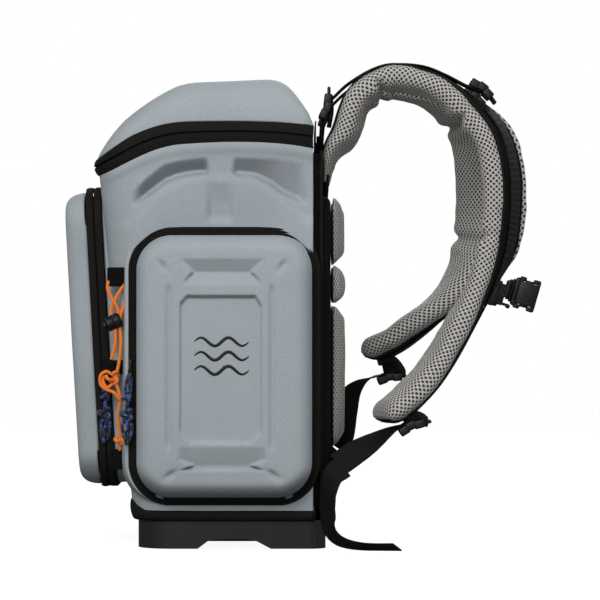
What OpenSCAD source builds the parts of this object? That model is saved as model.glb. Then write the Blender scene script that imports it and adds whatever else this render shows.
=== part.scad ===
// Hard-shell tackle backpack: a moulded body on a plastic base, with a zipped lid, two side doors,
// a front pocket and padded shoulder straps.
// Origin: centre of the base's underside. +Z is up, +Y points to the wearer's back and +X is the
// wearer's right-hand side.

/* [Body] */
// Width of the moulded body across its two sides
body_w = 290; // [280:1:300]
// Distance from the origin to the flat rear of the moulded body
body_rear = 83; // [80:1:86]
// Distance from the origin to the foot of the body's front face
body_front = 94; // [93:1:95]
// Forward lean of the body's front face in degrees
body_lean = 5.73; // [5.5:0.05:6]
// Radius of the upright front corners
corner_r = 40; // [34:1:42]
// Thickness of the fabric-laminated foam shell
shell_t = 5; // [4:0.5:6]
// Height of the moulded plastic base
base_h = 28; // [26:1:28]

/* [Side doors] */
// Width of a side door, front to back
door_w = 174; // [170:1:176]
// Height of a side door
door_h = 260; // [254:1:262]
// How far a side door stands out from the body's side
door_proud = 36; // [32:1:38]
// Opening angle the doors are drawn at
door_open = 0; // [0:1:85]

/* [Front pocket] */
// Width of the front pocket
pocket_w = 220; // [210:1:224]
// Height of the front pocket's zipped face
pocket_h = 296; // [290:1:298]
// Depth of the front pocket's cover
cover_d = 23; // [18:1:24]

/* [Straps] */
// Width of a shoulder pad
strap_w = 66; // [60:1:68]
// Thickness of a shoulder pad
strap_t = 24; // [20:1:25]
// Width of the webbing
web_w = 25; // [22:1:26]
// Thickness of the webbing
web_t = 1.8; // [1.5:0.1:2]
// Diameter of the elastic cord
cord_d = 3.6; // [3:0.2:4]

/* [Hidden] */
$fn = 48;

gap = 0.4;             // air kept between neighbouring pieces
half_w = body_w / 2;
tape_t = 3;            // thickness of a zip tape with its teeth
floor_z = base_h + 1;  // underside of the body's floor
pad_x0 = half_w - 30;  // inner side of the flat land under a side door

shell_grey = [0.62, 0.65, 0.67];
mesh_grey = [0.68, 0.68, 0.68];
fabric_black = [0.07, 0.07, 0.08];
base_grey = [0.17, 0.18, 0.19];
cord_orange = [0.95, 0.42, 0.05];
cord_blue = [0.05, 0.2, 0.45];

// ---------------------------------------------------------------- curves and outlines

function bezier(a, b, c, d, n) = [
    for (i = [0:n]) let (t = i / n, s = 1 - t)
        s * s * s * a + 3 * s * s * t * b + 3 * s * t * t * c + t * t * t * d
];
function reverse(p) = [for (i = [len(p) - 1:-1:0]) p[i]];
function tail(p) = [for (i = [1:1:len(p) - 1]) p[i]];
function unit(v) = v / norm(v);
function left_normal(a, b) = let (d = unit(b - a)) [-d[1], d[0]];

// A closed outline moved inwards by d; the points run clockwise.
function inset(p, d) = [
    for (i = [0:len(p) - 1])
        let (
            n1 = -left_normal(p[(i + len(p) - 1) % len(p)], p[i]),
            n2 = -left_normal(p[i], p[(i + 1) % len(p)])
        )
        p[i] + d * (n1 + n2) / (1 + n1 * n2)
];

// A smooth path through every station, with n steps between two of them.
function smooth(p, n) = [
    for (i = [0:len(p) - 2], k = [0:n - 1])
        let (
            a = p[max(i - 1, 0)], b = p[i], c = p[i + 1], d = p[min(i + 2, len(p) - 1)],
            t = k / n
        )
        0.5 * (2 * b + (c - a) * t + (2 * a - 5 * b + 4 * c - d) * t * t
            + (3 * b - a - 3 * c + d) * t * t * t)
];
function smooth_path(p, n) = concat(smooth(p, n), [p[len(p) - 1]]);

// The body's rim: lower edge, centre and upper edge of the lid's zip, front to rear, as [y, z].
rim_low = concat(
    bezier([-137, 371], [-108, 371], [-86, 400], [-40, 401], 8),
    tail(bezier([-40, 401], [0, 404], [50, 404], [body_rear, 396], 6))
);
rim_high = concat(
    bezier([-140, 384], [-114, 396], [-92, 423], [-40, 424], 8),
    tail(bezier([-40, 424], [0, 425], [50, 425], [84, 420], 6))
);
rim_mid = (rim_low + rim_high) / 2;
lid_crest = concat(
    bezier([-140, 390], [-120, 416], [-92, 443], [-54, 461], 8),
    bezier([-50, 463.5], [-45, 465], [-38, 465.4], [-28, 465.6], 3),
    bezier([36, 468], [56, 468], [62, 457], [79, 441], 6),
    [[84, 428]]
);

// ---------------------------------------------------------------- shape helpers

module along_x(x0, x1) {
    translate([x0, 0, 0]) rotate([90, 0, 90]) linear_extrude(x1 - x0) children();
}
module along_y(y0, y1) {
    translate([0, y1, 0]) rotate([90, 0, 0]) linear_extrude(y1 - y0) children();
}
module both_sides() {
    children();
    mirror([1, 0, 0]) children();
}
module both_edges() {
    children();
    mirror([0, 0, 1]) children();
}
module rounded(w, h, r) {
    square([w - 2 * r, h], center = true);
    square([w, h - 2 * r], center = true);
    for (x = [-1, 1], y = [-1, 1]) translate([x * (w / 2 - r), y * (h / 2 - r)]) circle(r);
}

// The body's plan, grown by g, leaning forward as it rises.
module plan_prism(g) {
    w = body_w + 2 * g;
    r = corner_r + g;
    translate([0, -body_front - g, 0]) rotate([body_lean, 0, 0]) translate([0, 0, -40])
        linear_extrude(600) {
            translate([-w / 2, r]) square([w, 300]);
            translate([-w / 2 + r, 0]) square([w - 2 * r, r + 1]);
            for (x = [-1, 1]) translate([x * (w / 2 - r), r]) circle(r);
        }
}
module band(outer, inner) {
    difference() {
        plan_prism(outer);
        plan_prism(inner);
    }
}
// A side door's outline, grown by g, at its place on the body's side as [y, z].
door_y = -5;
door_z = 181.3;
door_r = 35;
module door_outline(g) {
    translate([door_y, door_z]) rounded(door_w + 2 * g, door_h + 2 * g, door_r + g);
}
module land_prism(g) {
    both_sides() along_x(pad_x0, half_w + g)
        translate([door_y - 3.5, door_z + 1]) rounded(door_w + 17, door_h + 17, door_r + 8);
}

// A strip with stations [x, y, z, twist], each a flat slab across the path.
function across(p, i) =
    let (
        a = p[max(i - 1, 0)], b = p[min(i + 1, len(p) - 1)],
        t = unit([b[0] - a[0], b[1] - a[1], b[2] - a[2]]),
        w0 = unit([1, 0, 0] - t[0] * t),
        n0 = cross(w0, t),
        s = p[i][3],
        w = w0 * cos(s) + n0 * sin(s),
        n = n0 * cos(s) - w0 * sin(s)
    )
    [[w[0], n[0], -t[0], p[i][0]], [w[1], n[1], -t[1], p[i][1]], [w[2], n[2], -t[2], p[i][2]],
        [0, 0, 0, 1]];
module slab(p, i, w, h, lift, shift) {
    multmatrix(across(p, i)) translate([shift, lift, 0]) cube([w, h, 0.3], center = true);
}
module strip(p, w, h, lift = 0, shift = 0) {
    for (i = [0:len(p) - 2]) hull() {
        slab(p, i, w, h, lift, shift);
        slab(p, i + 1, w, h, lift, shift);
    }
}
module cord(p, d, n = 8) {
    for (i = [0:len(p) - 2]) hull() {
        translate(p[i]) sphere(d = d, $fn = n);
        translate(p[i + 1]) sphere(d = d, $fn = n);
    }
}

// ---------------------------------------------------------------- body and base

rivet_r = 2.2;         // shank of a rivet through the base and the body's floor
rivet_hole_r = 2.6;
module at_rivets() {
    for (x = [-90, 90], y = [-50, 50]) translate([x, y, 0]) children();
}

module body_profile(d) {
    p = concat(rim_low, [[body_rear, 390], [body_rear, floor_z], [-160, floor_z]]);
    polygon(inset(p, d));
}
module main_shell() {
    wall = shell_t;
    color(shell_grey) difference() {
        intersection() {
            union() {
                plan_prism(0);
                land_prism(0);
            }
            along_x(-half_w - 5, half_w + 5) body_profile(0);
        }
        intersection() {
            plan_prism(-wall);
            along_x(-half_w, half_w) polygon([[-160, floor_z + wall], [-160, 500],
                [body_rear - wall, 500], [body_rear - wall, floor_z + wall]]);
        }
        at_rivets() cylinder(r = rivet_hole_r, h = 60);
    }
}
module shell_lining() {
    d = shell_t + gap;
    color(fabric_black) difference() {
        intersection() {
            plan_prism(-d);
            along_x(-half_w, half_w) polygon([[-160, floor_z + shell_t + 4], [-160, 365],
                [body_rear - d - 3, 385], [body_rear - d - 3, floor_z + shell_t + 4]]);
        }
        intersection() {
            plan_prism(-d - 1);
            along_x(-half_w, half_w) polygon([[-160, floor_z + shell_t + 5], [-160, 500],
                [body_rear - d - 4, 500], [body_rear - d - 4, floor_z + shell_t + 5]]);
        }
    }
}
module tray_plan(g) {
    translate([0, 1.75]) {
        rounded(286 + 2 * g, 187.5 + 2 * g, 34 + g);
        translate([0, 40]) rounded(286 + 2 * g, 107.5 + 2 * g, 16 + g);
    }
}
// An arch under each side of the base, grown by g; a flat foot is left between the two.
module arch(g) {
    both_sides() along_x(45 - g, 200) polygon([[-33 - g, -1], [-21 - g, 8 + g], [-10, 9.5 + g],
        [15, 9.5 + g], [26 + g, 8 + g], [43 + g, -1]]);
}
module base_tray() {
    wall = 3;
    color(base_grey) difference() {
        linear_extrude(base_h) tray_plan(0);
        difference() {
            translate([0, 0, wall]) linear_extrude(base_h) tray_plan(-wall);
            arch(wall);
            at_rivets() cylinder(r = 7, h = base_h);
        }
        arch(0);
        both_sides() for (y = [-78.5, 86.3])
            translate([143, y, 8]) cube([2.4, 4.5, 12], center = true);
        at_rivets() translate([0, 0, -1]) {
            cylinder(r = rivet_hole_r, h = 60);
            cylinder(r = 5, h = 12);
        }
    }
}
module base_rivets() {
    color("silver") at_rivets() {
        translate([0, 0, 7.5]) cylinder(r = 4.5, h = 3.2);
        translate([0, 0, 10]) cylinder(r = rivet_r, h = floor_z + shell_t - 9);
        translate([0, 0, floor_z + shell_t + 0.3]) cylinder(r = 4.5, h = 1.8);
    }
}
module base_binding() {
    color(fabric_black) difference() {
        intersection() {
            union() {
                plan_prism(2);
                land_prism(1.5);
            }
            along_x(-160, 160) polygon([[-140, 48], [-98, 49], [-94, 42], [-84, 38],
                [body_rear, 38], [body_rear, base_h + gap], [-140, base_h + gap]]);
        }
        plan_prism(gap);
        land_prism(gap);
    }
}

// ---------------------------------------------------------------- back

module back_frame_sheet() {
    color("white") along_y(body_rear - shell_t - 2.6, body_rear - shell_t - gap)
        translate([0, 210]) rounded(230, 310, 20);
}
module back_panel() {
    color(fabric_black) {
        along_y(body_rear + gap, 90) translate([0, 217.5]) rounded(272, 355, 28);
        along_y(88, 101) translate([0, 197]) rounded(262, 310, 28);
    }
}
module back_lobe(z0, z1, w, y1) {
    color(mesh_grey) hull() {
        along_y(101 + gap, 108) translate([0, (z0 + z1) / 2]) rounded(w, z1 - z0 - 1, 16);
        along_y(110, y1) translate([0, (z0 + z1) / 2]) rounded(w - 18, z1 - z0 - 14, 12);
    }
}
module back_pad_upper() { back_lobe(283, 351, 226, 115); }
module back_pad_middle() { back_lobe(243, 282.4, 226, 116); }
module back_pad_lumbar() { back_lobe(99, 242.4, 226, 115); }

// ---------------------------------------------------------------- lid

lid_half = concat([[half_w, 300], [half_w, 424]],
    tail(bezier([half_w, 424], [143, 448], [136, 467], [112, 470], 6)));
function mirrored(p) = concat(p, reverse([for (q = p) [-q[0], q[1]]]));

module lid_outside() {
    intersection() {
        along_x(-half_w, half_w) polygon(concat(lid_crest, reverse(rim_high)));
        plan_prism(0);
        along_y(-200, 100) polygon(mirrored(lid_half));
    }
}
module lid_inside(d) {
    tall = concat(lid_crest, [[84, 300], [-140, 300]]);
    intersection() {
        along_x(-half_w, half_w) polygon(inset(tall, d));
        plan_prism(-d);
        along_y(-200, 100) polygon([for (q = mirrored(lid_half))
            [q[0] * (half_w - d) / half_w, q[1] - (q[1] > 430 ? d : 0)]]);
    }
}
module lid_shell() {
    color(shell_grey) difference() {
        lid_outside();
        lid_inside(4);
    }
}
module lid_lining() {
    color(fabric_black) difference() {
        intersection() {
            lid_inside(4 + gap);
            along_x(-half_w, half_w) polygon(concat([[-160, 500], [90, 500]],
                reverse([for (q = rim_high) q + [0, 6]]), [[-160, 395]]));
        }
        lid_inside(5 + gap);
    }
}
// A zip tape round the front and both sides, between two edges given as [y, z].
module rim_tape(low, high, rear) {
    color(fabric_black) intersection() {
        band(1.2, -1.6);
        along_x(-160, 160) polygon(concat(high, reverse(low)));
        translate([-160, -200, 300]) cube([320, 200 + rear, 200]);
    }
}
module lid_zip_body_tape() {
    rim_tape([for (q = rim_low) q + [0, gap]], [for (q = rim_mid) q - [0, gap / 2]], body_rear);
}
module lid_zip_lid_tape() {
    rim_tape([for (q = rim_mid) q + [0, gap / 2]], [for (q = rim_high) q - [0, gap]],
        body_rear - 5);
}
module lid_hinge_strip() {
    color(fabric_black) translate([-120, body_rear + 1.6, 396]) cube([240, 1.6, 24]);
}

// ---------------------------------------------------------------- front pocket

pocket_lean = 3.15;
pocket_foot = [0, -122, 61];
pocket_hinge = 172;    // length of the zip's gap along the hinge
module in_pocket() {
    translate(pocket_foot) rotate([pocket_lean, 0, 0]) children();
}
module pocket_outline(g) {
    translate([0, pocket_h / 2]) rounded(pocket_w + 2 * g, pocket_h + 2 * g, 36 + g);
}
module front_pocket_tub() {
    color(shell_grey) difference() {
        in_pocket() difference() {
            along_y(8.4, 60) pocket_outline(-1);
            along_y(0, 61) pocket_outline(-1 - shell_t);
        }
        plan_prism(gap);
    }
}
// One half of the pocket's zip: a flat ring, open along the hinge at its foot.
module pocket_tape(y0, y1) {
    color(fabric_black) in_pocket() difference() {
        along_y(y0, y1) pocket_outline(1);
        along_y(y0 - 1, y1 + 1) pocket_outline(-2);
        translate([-pocket_hinge / 2, -40, -10]) cube([pocket_hinge, 80, 20]);
    }
}
module front_zip_body_tape() { pocket_tape(0.2, 8); }
module front_zip_cover_tape() { pocket_tape(-7.8, -0.2); }
module front_hinge_strip() {
    color(fabric_black) in_pocket() translate([1 - pocket_hinge / 2, 0.2, -1])
        cube([pocket_hinge - 2, 7.6, 2]);
}
module front_cover() {
    color(shell_grey) in_pocket() difference() {
        hull() {
            along_y(-14, -8.2) pocket_outline(-0.5);
            along_y(-8.2 - cover_d, -24) pocket_outline(-13);
        }
        hull() {
            along_y(-15, -7) pocket_outline(-0.5 - shell_t);
            along_y(-8.2 - cover_d + shell_t, -20) pocket_outline(-13 - shell_t);
        }
    }
}

// ---------------------------------------------------------------- side doors

door_pivot = [half_w + 1, 0, door_z - door_h / 2 - 1.4];
door_hinge = 152;      // length of the zip's gap along the hinge
module swung_door() {
    translate(door_pivot) rotate([0, door_open, 0]) translate(-door_pivot) children();
}
module door_body() {
    face = half_w + door_proud;
    difference() {
        hull() {
            along_x(half_w + gap, face - 12) door_outline(0);
            along_x(face - 1, face) door_outline(-11);
        }
        hull() {
            along_x(half_w, face - 16) door_outline(-4);
            along_x(face - 8, face - 7) door_outline(-14);
        }
        along_x(face - 3, face + 1) translate([door_y, door_z + 2]) polygon([
            [-40, 72], [37, 72], [44, 64], [44, -70], [34, -80], [-38, -80], [-48, -70], [-48, 64]]);
    }
}
module door_tape(outer, inner) {
    difference() {
        along_x(half_w + gap, half_w + gap + tape_t) door_outline(outer);
        along_x(half_w, half_w + 10) door_outline(inner);
        translate([half_w - 5, door_y - door_hinge / 2, 0]) cube([20, door_hinge, 60]);
    }
}
module right_door_shell() { color(shell_grey) swung_door() door_body(); }
module left_door_shell() { color(shell_grey) mirror([1, 0, 0]) swung_door() door_body(); }
module right_zip_door_tape() { color(fabric_black) swung_door() door_tape(3.9, gap); }
module left_zip_door_tape() {
    color(fabric_black) mirror([1, 0, 0]) swung_door() door_tape(3.9, gap);
}
module side_zip_body_tapes() { color(fabric_black) both_sides() door_tape(8, 4.3); }
module side_hinge_strips() {
    color(fabric_black) both_sides()
        translate([half_w + gap, door_y + 1 - door_hinge / 2, door_pivot[2] - 6])
            cube([1.8, door_hinge - 2, 6]);
}

// ---------------------------------------------------------------- loops and elastic cords

// The cords hang beside the front pocket, on the body's rounded corner.
cord_x = 141;
lower_loop = [cord_x - 6, -120.5, 180];
module gear_loops() {
    color(fabric_black) both_sides() difference() {
        union() {
            translate([cord_x - 4, -112, 271]) difference() {
                cube([9, 19, 18], center = true);
                translate([2, 0, -6]) cube([4, 20, 9], center = true);
            }
            translate(lower_loop) rotate([-14, 0, 0]) difference() {
                cube([12, 12, 17], center = true);
                cube([7, 13, 9], center = true);
            }
            translate([cord_x - 12, -107, 180]) cube([3, 18, 14], center = true);
            translate([cord_x - 20, -108, 88]) cube([5, 22, 20], center = true);
        }
        plan_prism(gap);
        land_prism(gap);
    }
}
module elastic_cords() {
    color(cord_orange) both_sides() {
        cord([for (a = [0:45:360]) [cord_x - 2, -112 + 5 * cos(a) * (1 + 0.4 * sin(a)),
            250 + 12 * sin(a)]], cord_d - 0.6);
        cord([[cord_x - 2, -114, 240], [cord_x - 2, -113.2, 205], [cord_x - 5, -117, 190.6]],
            cord_d - 0.4);
        cord([[cord_x - 2, -109.4, 240], [cord_x - 2, -108, 205], [cord_x - 4, -109, 150],
            [cord_x - 12, -109, 112]], cord_d - 0.4);
    }
}
lock_at = [cord_x - 2, -113, 226];
lock_tilt = 112;      // the barrel points to the front and a little down
module cord_lock() {
    translate(lock_at) difference() {
        rotate([lock_tilt, 0, 0]) translate([0, 0, -5.5]) cylinder(d = 15, h = 15.5);
        translate([0, 1.2, 0]) cube([5, 11, 40], center = true);
        rotate([lock_tilt, 0, 0]) translate([0, 0, 6.8]) cylinder(d = 10, h = 20);
    }
}
module cord_plunger() {
    translate(lock_at) rotate([lock_tilt, 0, 0]) translate([0, 0, 9.2]) cylinder(d = 9, h = 5);
}
module right_cord_lock() { color(base_grey) cord_lock(); }
module left_cord_lock() { color(base_grey) mirror([1, 0, 0]) cord_lock(); }
module right_cord_plunger() { color(base_grey) cord_plunger(); }
module left_cord_plunger() { color(base_grey) mirror([1, 0, 0]) cord_plunger(); }

// ---------------------------------------------------------------- shoulder straps

// Stations [x, y, z, twist] along a pad's outboard edge, from the back panel over the shoulder.
strap_top = [
    [95, 104, 366, 3], [95, 106, 383, 6], [96, 112, 409, 8], [97, 121, 435, 7],
    [98, 134, 456, 5], [99, 157, 470, 4], [100, 186, 469, 3]
];
right_low = [
    [101, 213, 456, -4], [102, 236, 434, -14], [103, 253, 408, -22], [104, 260, 377, -25],
    [105, 261, 342, -25],
    [107, 258, 307, -22], [110, 253, 280, -12], [113, 246, 254, -3], [118, 233, 223, 4],
    [124, 219, 195, 7], [131, 203, 170, 8], [138, 186, 151, 8], [143, 170, 137, 8],
    [146, 160, 130, 8]
];
left_low = [
    [101, 210, 456, -5], [102, 228, 438, -15], [103, 237, 415, -32], [104, 240, 380, -44],
    [105, 240, 344, -42], [107, 240, 314, -34], [110, 237, 285, -18], [115, 226, 255, -4],
    [121, 206, 228, 6],
    [127, 182, 207, 8], [132, 162, 195, 8], [135, 149, 189, 8]
];
right_edge = smooth_path(concat(strap_top, right_low), 2);
left_edge = smooth_path(concat(strap_top, left_low), 2);
web_start = 17;         // the station where the outer webbing begins
web_lift = strap_t / 2 + 3.4 + web_t / 2;
half_strap = strap_w / 2;

module strap_pad(edge) {
    color(mesh_grey) strip(edge, strap_w, strap_t, 0, -half_strap);
}
module strap_webbing(edge) {
    run = [for (i = [web_start:len(edge) - 7]) edge[i]];
    color(fabric_black) strip(run, web_w, web_t, web_lift, -half_strap);
}
module right_strap_pad() { strap_pad(right_edge); }
module left_strap_pad() { mirror([1, 0, 0]) strap_pad(left_edge); }
module right_strap_webbing() { strap_webbing(right_edge); }
module left_strap_webbing() { mirror([1, 0, 0]) strap_webbing(left_edge); }

// A ladder lock lying in the local x-y plane, with its webbing running along y.
module ladder_lock() {
    difference() {
        translate([-16, -13, -2.2]) cube([32, 26, 4.4]);
        for (y = [-9.5, -3, 3.5]) translate([-13, y, -3]) cube([26, 4, 6]);
    }
    translate([-12, 10, -2.2]) rotate([-16, 0, 0]) cube([24, 9, 2.6]);
}
lifter_x = 62;
lifter_path = [
    [lifter_x, 106.5, 456, 0], [lifter_x, 120, 470, 0], [lifter_x, 146, 483.6, 0],
    [lifter_x + 1, 170, 488, 0], [lifter_x + 2, 196, 486, 0], [lifter_x + 3, 218, 477, 0],
    [lifter_x + 4, 239, 465.5, 0]
];
module lifter_webbing() {
    color(fabric_black) strip(lifter_path, web_w - 3, web_t);
    color(base_grey) translate([lifter_x + 5, 254.8, 462]) rotate([-38, 0, 0]) ladder_lock();
}
module right_lifter_webbing() { lifter_webbing(); }
module left_lifter_webbing() { mirror([1, 0, 0]) lifter_webbing(); }

module lifter_anchors() {
    both_sides() {
        color(base_grey) translate([lifter_x, 97.5, 443]) rotate([74, 0, 0]) mirror([0, 0, 1])
            ladder_lock();
        color(fabric_black) translate([lifter_x - 12, 91.2, 405]) cube([24, 1.8, 24]);
    }
}
module strap_anchor_tabs() {
    color(fabric_black) both_sides() translate([lifter_x, 0, 0])
        along_y(92, 99.8) polygon([[-30, 356], [30, 356], [27, 353], [-27, 353]]);
}
module haul_loop() {
    color(fabric_black) difference() {
        translate([-24, 91, 402]) rotate([-8, 0, 0]) cube([48, 3, 44]);
        translate([-14, 85, 412]) cube([28, 20, 22]);
    }
}

// ---------------------------------------------------------------- lower webbing

right_lock_at = [118, 181, 121];
left_lock_at = [108, 166, 164];
module lower_lock(at, tilt) {
    color(base_grey) translate(at) rotate([tilt, 0, 0]) ladder_lock();
}
module right_lower_lock() { lower_lock(right_lock_at, 24); }
module left_lower_lock() { mirror([1, 0, 0]) lower_lock(left_lock_at, 12); }
module right_lower_webbing() {
    color(fabric_black) strip(smooth_path([
        [118, 190, 129.7, 0], [118, 174, 122.3, 0], [118, 158, 114.9, 0], [123, 143, 106, 30],
        [132, 129, 97.5, 62], [140, 116, 89, 80]
    ], 2), web_w, web_t);
}
module left_lower_webbing() {
    color(fabric_black) mirror([1, 0, 0]) strip(smooth_path([
        [108, 178, 170.9, 0], [108, 162, 167.3, 0], [108, 147, 163.9, 0], [112, 134, 158, 24],
        [119, 125, 147, 54], [127, 120, 126, 76], [134, 116, 100, 85]
    ], 2), web_w, web_t);
}
module lower_anchor_tabs() {
    color(fabric_black) both_sides() difference() {
        along_y(101.4, 104.6) polygon([[96, 97], [137, 97], [146, 82], [140, 66], [96, 60]]);
        along_y(90, 120) polygon([[136, 92], [139, 92], [139, 72], [136, 72]]);
    }
}
module right_webbing_tail() {
    color(fabric_black) strip(smooth_path([
        [147.6, 113, 82, 88], [149.6, 103, 72, 74], [151.6, 98.5, 52, 46], [153.5, 98.5, 35, 40],
        [162, 101, 20, 38], [180, 112, 11, 30], [208, 134, 7.5, 20], [236, 160, 7, 20]
    ], 3), web_w - 1, web_t);
}
module left_webbing_tail() {
    color(fabric_black) mirror([1, 0, 0]) strip(smooth_path([
        [147.6, 110, 84, 88], [149.6, 101, 72, 90], [150.6, 98, 52, 90], [151.5, 97, 30, 90],
        [152, 96, 16, 90]
    ], 3), web_w - 1, web_t);
}

// ---------------------------------------------------------------- sternum strap

right_sternum_at = [84, 280.8, 258];
left_sternum_at = [84, 267.4, 258];
sternum_tilt = -16;
module sternum_pivot(at) { translate(at) rotate([sternum_tilt, 0, 0]) children(); }
module sternum_slider(at) {
    color(fabric_black) sternum_pivot(at) {
        translate([-13, -3, -9]) cube([26, 3.6, 18]);
        translate([-1, 0.6, -11]) cube([2, 4, 22]);
    }
}
module buckle_shell() {
    difference() {
        hull() {
            translate([0, 1, 0]) cube([11, 20, 30], center = true);
            cube([6, 23, 34], center = true);
        }
        translate([0, 6, 0]) cube([7, 20, 26], center = true);
        both_edges() translate([0, 2, 17]) cube([12, 10, 5], center = true);
    }
}
module right_sternum_slider() { sternum_slider(right_sternum_at); }
module left_sternum_slider() { mirror([1, 0, 0]) sternum_slider(left_sternum_at); }
module right_sternum_buckle() {
    color(base_grey) sternum_pivot(right_sternum_at) {
        translate([0, 19, 0]) buckle_shell();
        translate([-2.5, 5.6, -14]) cube([5, 4, 28]);
    }
}
module left_sternum_buckle() {
    color(base_grey) mirror([1, 0, 0]) sternum_pivot(left_sternum_at) {
        translate([-2.5, 5.6, -14]) cube([5, 9, 28]);
        for (z = [-12, -2, 8]) translate([-2.5, 14, z]) cube([5, 16, 4]);
    }
}

// ---------------------------------------------------------------- zip sliders and cord pulls

slider_l = 14;
module side_slider() {
    translate([half_w + gap + tape_t + 0.4, door_y - door_w / 2 - 7.9, door_z - slider_l / 2])
        cube([3.2, 3.6, slider_l]);
}
module right_zip_slider() { color("dimgray") side_slider(); }
module left_zip_slider() { color("dimgray") mirror([1, 0, 0]) side_slider(); }
module lid_zip_slider() {
    color("dimgray") translate([-half_w - 4.9, -slider_l / 2, 408]) cube([3.2, slider_l, 8]);
}
module front_zip_slider() {
    color("dimgray") in_pocket() translate([pocket_w / 2 + 1.4, 0.4, 114]) cube([2.6, 7, slider_l]);
}

// A hanging cord pull with a knot and two loose ends, from its eye at the origin.
module cord_pull() {
    cord([[0, 0, 0], [0, -2, -14], [0, -1, -28], [0, -3, -34]], 3.4);
    translate([0, -3, -39]) sphere(d = 8, $fn = 12);
    cord([[0, -3, -42], [0, -6, -56], [0, -5, -70]], 3.4);
    cord([[0, -3, -42], [0, 0.4, -54], [0, -0.4, -66]], 3.4);
}
side_pull_at = [half_w + 10.4, -98.6, 172];
lid_pull_at = [-half_w - 8.8, 0, 403];
front_pull_at = [pocket_w / 2 + 6.2, -122.6, 172];
module right_zip_pull() { color(cord_blue) translate(side_pull_at) cord_pull(); }
module left_zip_pull() { color(cord_blue) mirror([1, 0, 0]) translate(side_pull_at) cord_pull(); }
module lid_zip_pull() { color(cord_blue) translate(lid_pull_at) cord_pull(); }
module front_zip_pull() { color(cord_blue) translate(front_pull_at) cord_pull(); }

main_shell();
shell_lining();
base_tray();
base_binding();
base_rivets();
back_frame_sheet();
back_panel();
back_pad_upper();
back_pad_middle();
back_pad_lumbar();
lid_shell();
lid_lining();
lid_zip_body_tape();
lid_zip_lid_tape();
lid_hinge_strip();
front_pocket_tub();
front_cover();
front_zip_body_tape();
front_zip_cover_tape();
front_hinge_strip();
right_door_shell();
left_door_shell();
right_zip_door_tape();
left_zip_door_tape();
side_zip_body_tapes();
side_hinge_strips();
gear_loops();
elastic_cords();
right_cord_lock();
left_cord_lock();
right_cord_plunger();
left_cord_plunger();
strap_anchor_tabs();
lifter_anchors();
lower_anchor_tabs();
haul_loop();
right_strap_pad();
left_strap_pad();
right_strap_webbing();
left_strap_webbing();
right_lifter_webbing();
left_lifter_webbing();
right_lower_lock();
left_lower_lock();
right_lower_webbing();
left_lower_webbing();
right_webbing_tail();
left_webbing_tail();
right_sternum_slider();
left_sternum_slider();
right_sternum_buckle();
left_sternum_buckle();
lid_zip_slider();
front_zip_slider();
right_zip_slider();
left_zip_slider();
lid_zip_pull();
front_zip_pull();
right_zip_pull();
left_zip_pull();
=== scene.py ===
"""Looks of a hard-shell tackle backpack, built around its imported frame.

Lengths in the mesh code are millimetres in the frame's axes: +Y points to the wearer's back, +X to the
wearer's right. mesh_object() turns them into metres.
"""
import math

import bmesh
import bpy
import numpy as np
from mathutils import Matrix, Vector


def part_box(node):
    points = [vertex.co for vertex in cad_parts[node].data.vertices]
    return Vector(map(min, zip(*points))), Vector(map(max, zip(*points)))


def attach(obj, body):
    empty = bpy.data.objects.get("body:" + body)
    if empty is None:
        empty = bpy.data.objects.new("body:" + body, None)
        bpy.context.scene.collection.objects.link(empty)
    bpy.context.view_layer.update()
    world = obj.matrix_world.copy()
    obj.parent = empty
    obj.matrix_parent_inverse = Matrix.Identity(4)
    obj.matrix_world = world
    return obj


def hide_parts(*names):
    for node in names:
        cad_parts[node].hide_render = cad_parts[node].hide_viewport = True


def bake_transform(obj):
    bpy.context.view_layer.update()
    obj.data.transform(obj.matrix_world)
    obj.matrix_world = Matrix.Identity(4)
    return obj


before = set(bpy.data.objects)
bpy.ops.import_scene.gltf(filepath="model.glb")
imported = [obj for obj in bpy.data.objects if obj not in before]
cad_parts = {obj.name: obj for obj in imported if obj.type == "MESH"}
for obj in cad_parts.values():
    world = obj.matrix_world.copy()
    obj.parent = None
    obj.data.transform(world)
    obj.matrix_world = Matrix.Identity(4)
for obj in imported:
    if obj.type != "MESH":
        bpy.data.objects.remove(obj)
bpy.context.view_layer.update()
MM = 0.001


def box_mm(node):
    """A CAD node's lowest and highest corners in millimetres."""
    low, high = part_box(node)
    return np.array(low) / MM, np.array(high) / MM


# ------------------------------------------------------------------ sizes, from the frame

_, BODY_HIGH = box_mm("main_shell")
DOOR_LOW, DOOR_HIGH = box_mm("right_door_shell")
HALF_W = BODY_HIGH[0]            # half the body's width
REAR_Y = BODY_HIGH[1]            # the body's flat rear
FOOT_Y = -94.0                   # foot of the leaning front face
LEAN = math.tan(math.radians(5.73))         # how far the front face leans out over its height
CORNER_R = 40.0                  # the body's front corners
DOOR_Y = (DOOR_LOW[1] + DOOR_HIGH[1]) / 2
DOOR_Z = (DOOR_LOW[2] + DOOR_HIGH[2]) / 2
DOOR_HALF = ((DOOR_HIGH[1] - DOOR_LOW[1]) / 2, (DOOR_HIGH[2] - DOOR_LOW[2]) / 2)
DOOR_R = 35.0
POCKET_LEAN = math.radians(3.15)
POCKET_FOOT = np.array([0.0, -122.0, 61.0])     # origin of the pocket's own axes, at its foot
POCKET_HALF = (110.0, 148.0)     # half its width and half its height
POCKET_R = 36.0
SHELL_T = 4.0                    # thickness of the moulded lid, doors and cover
TOOTH, TOOTH_PITCH = (1.3, 1.1, 1.6), 1.9       # a zip tooth's size, and the distance to the next
PANEL_SUNK = 4.2                 # depth of a side door's sunk panel
NEAR_CENTRE = 0.999              # how close the last ring of a disc-like grid comes to its centre

# ------------------------------------------------------------------ curves and numbers


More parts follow.
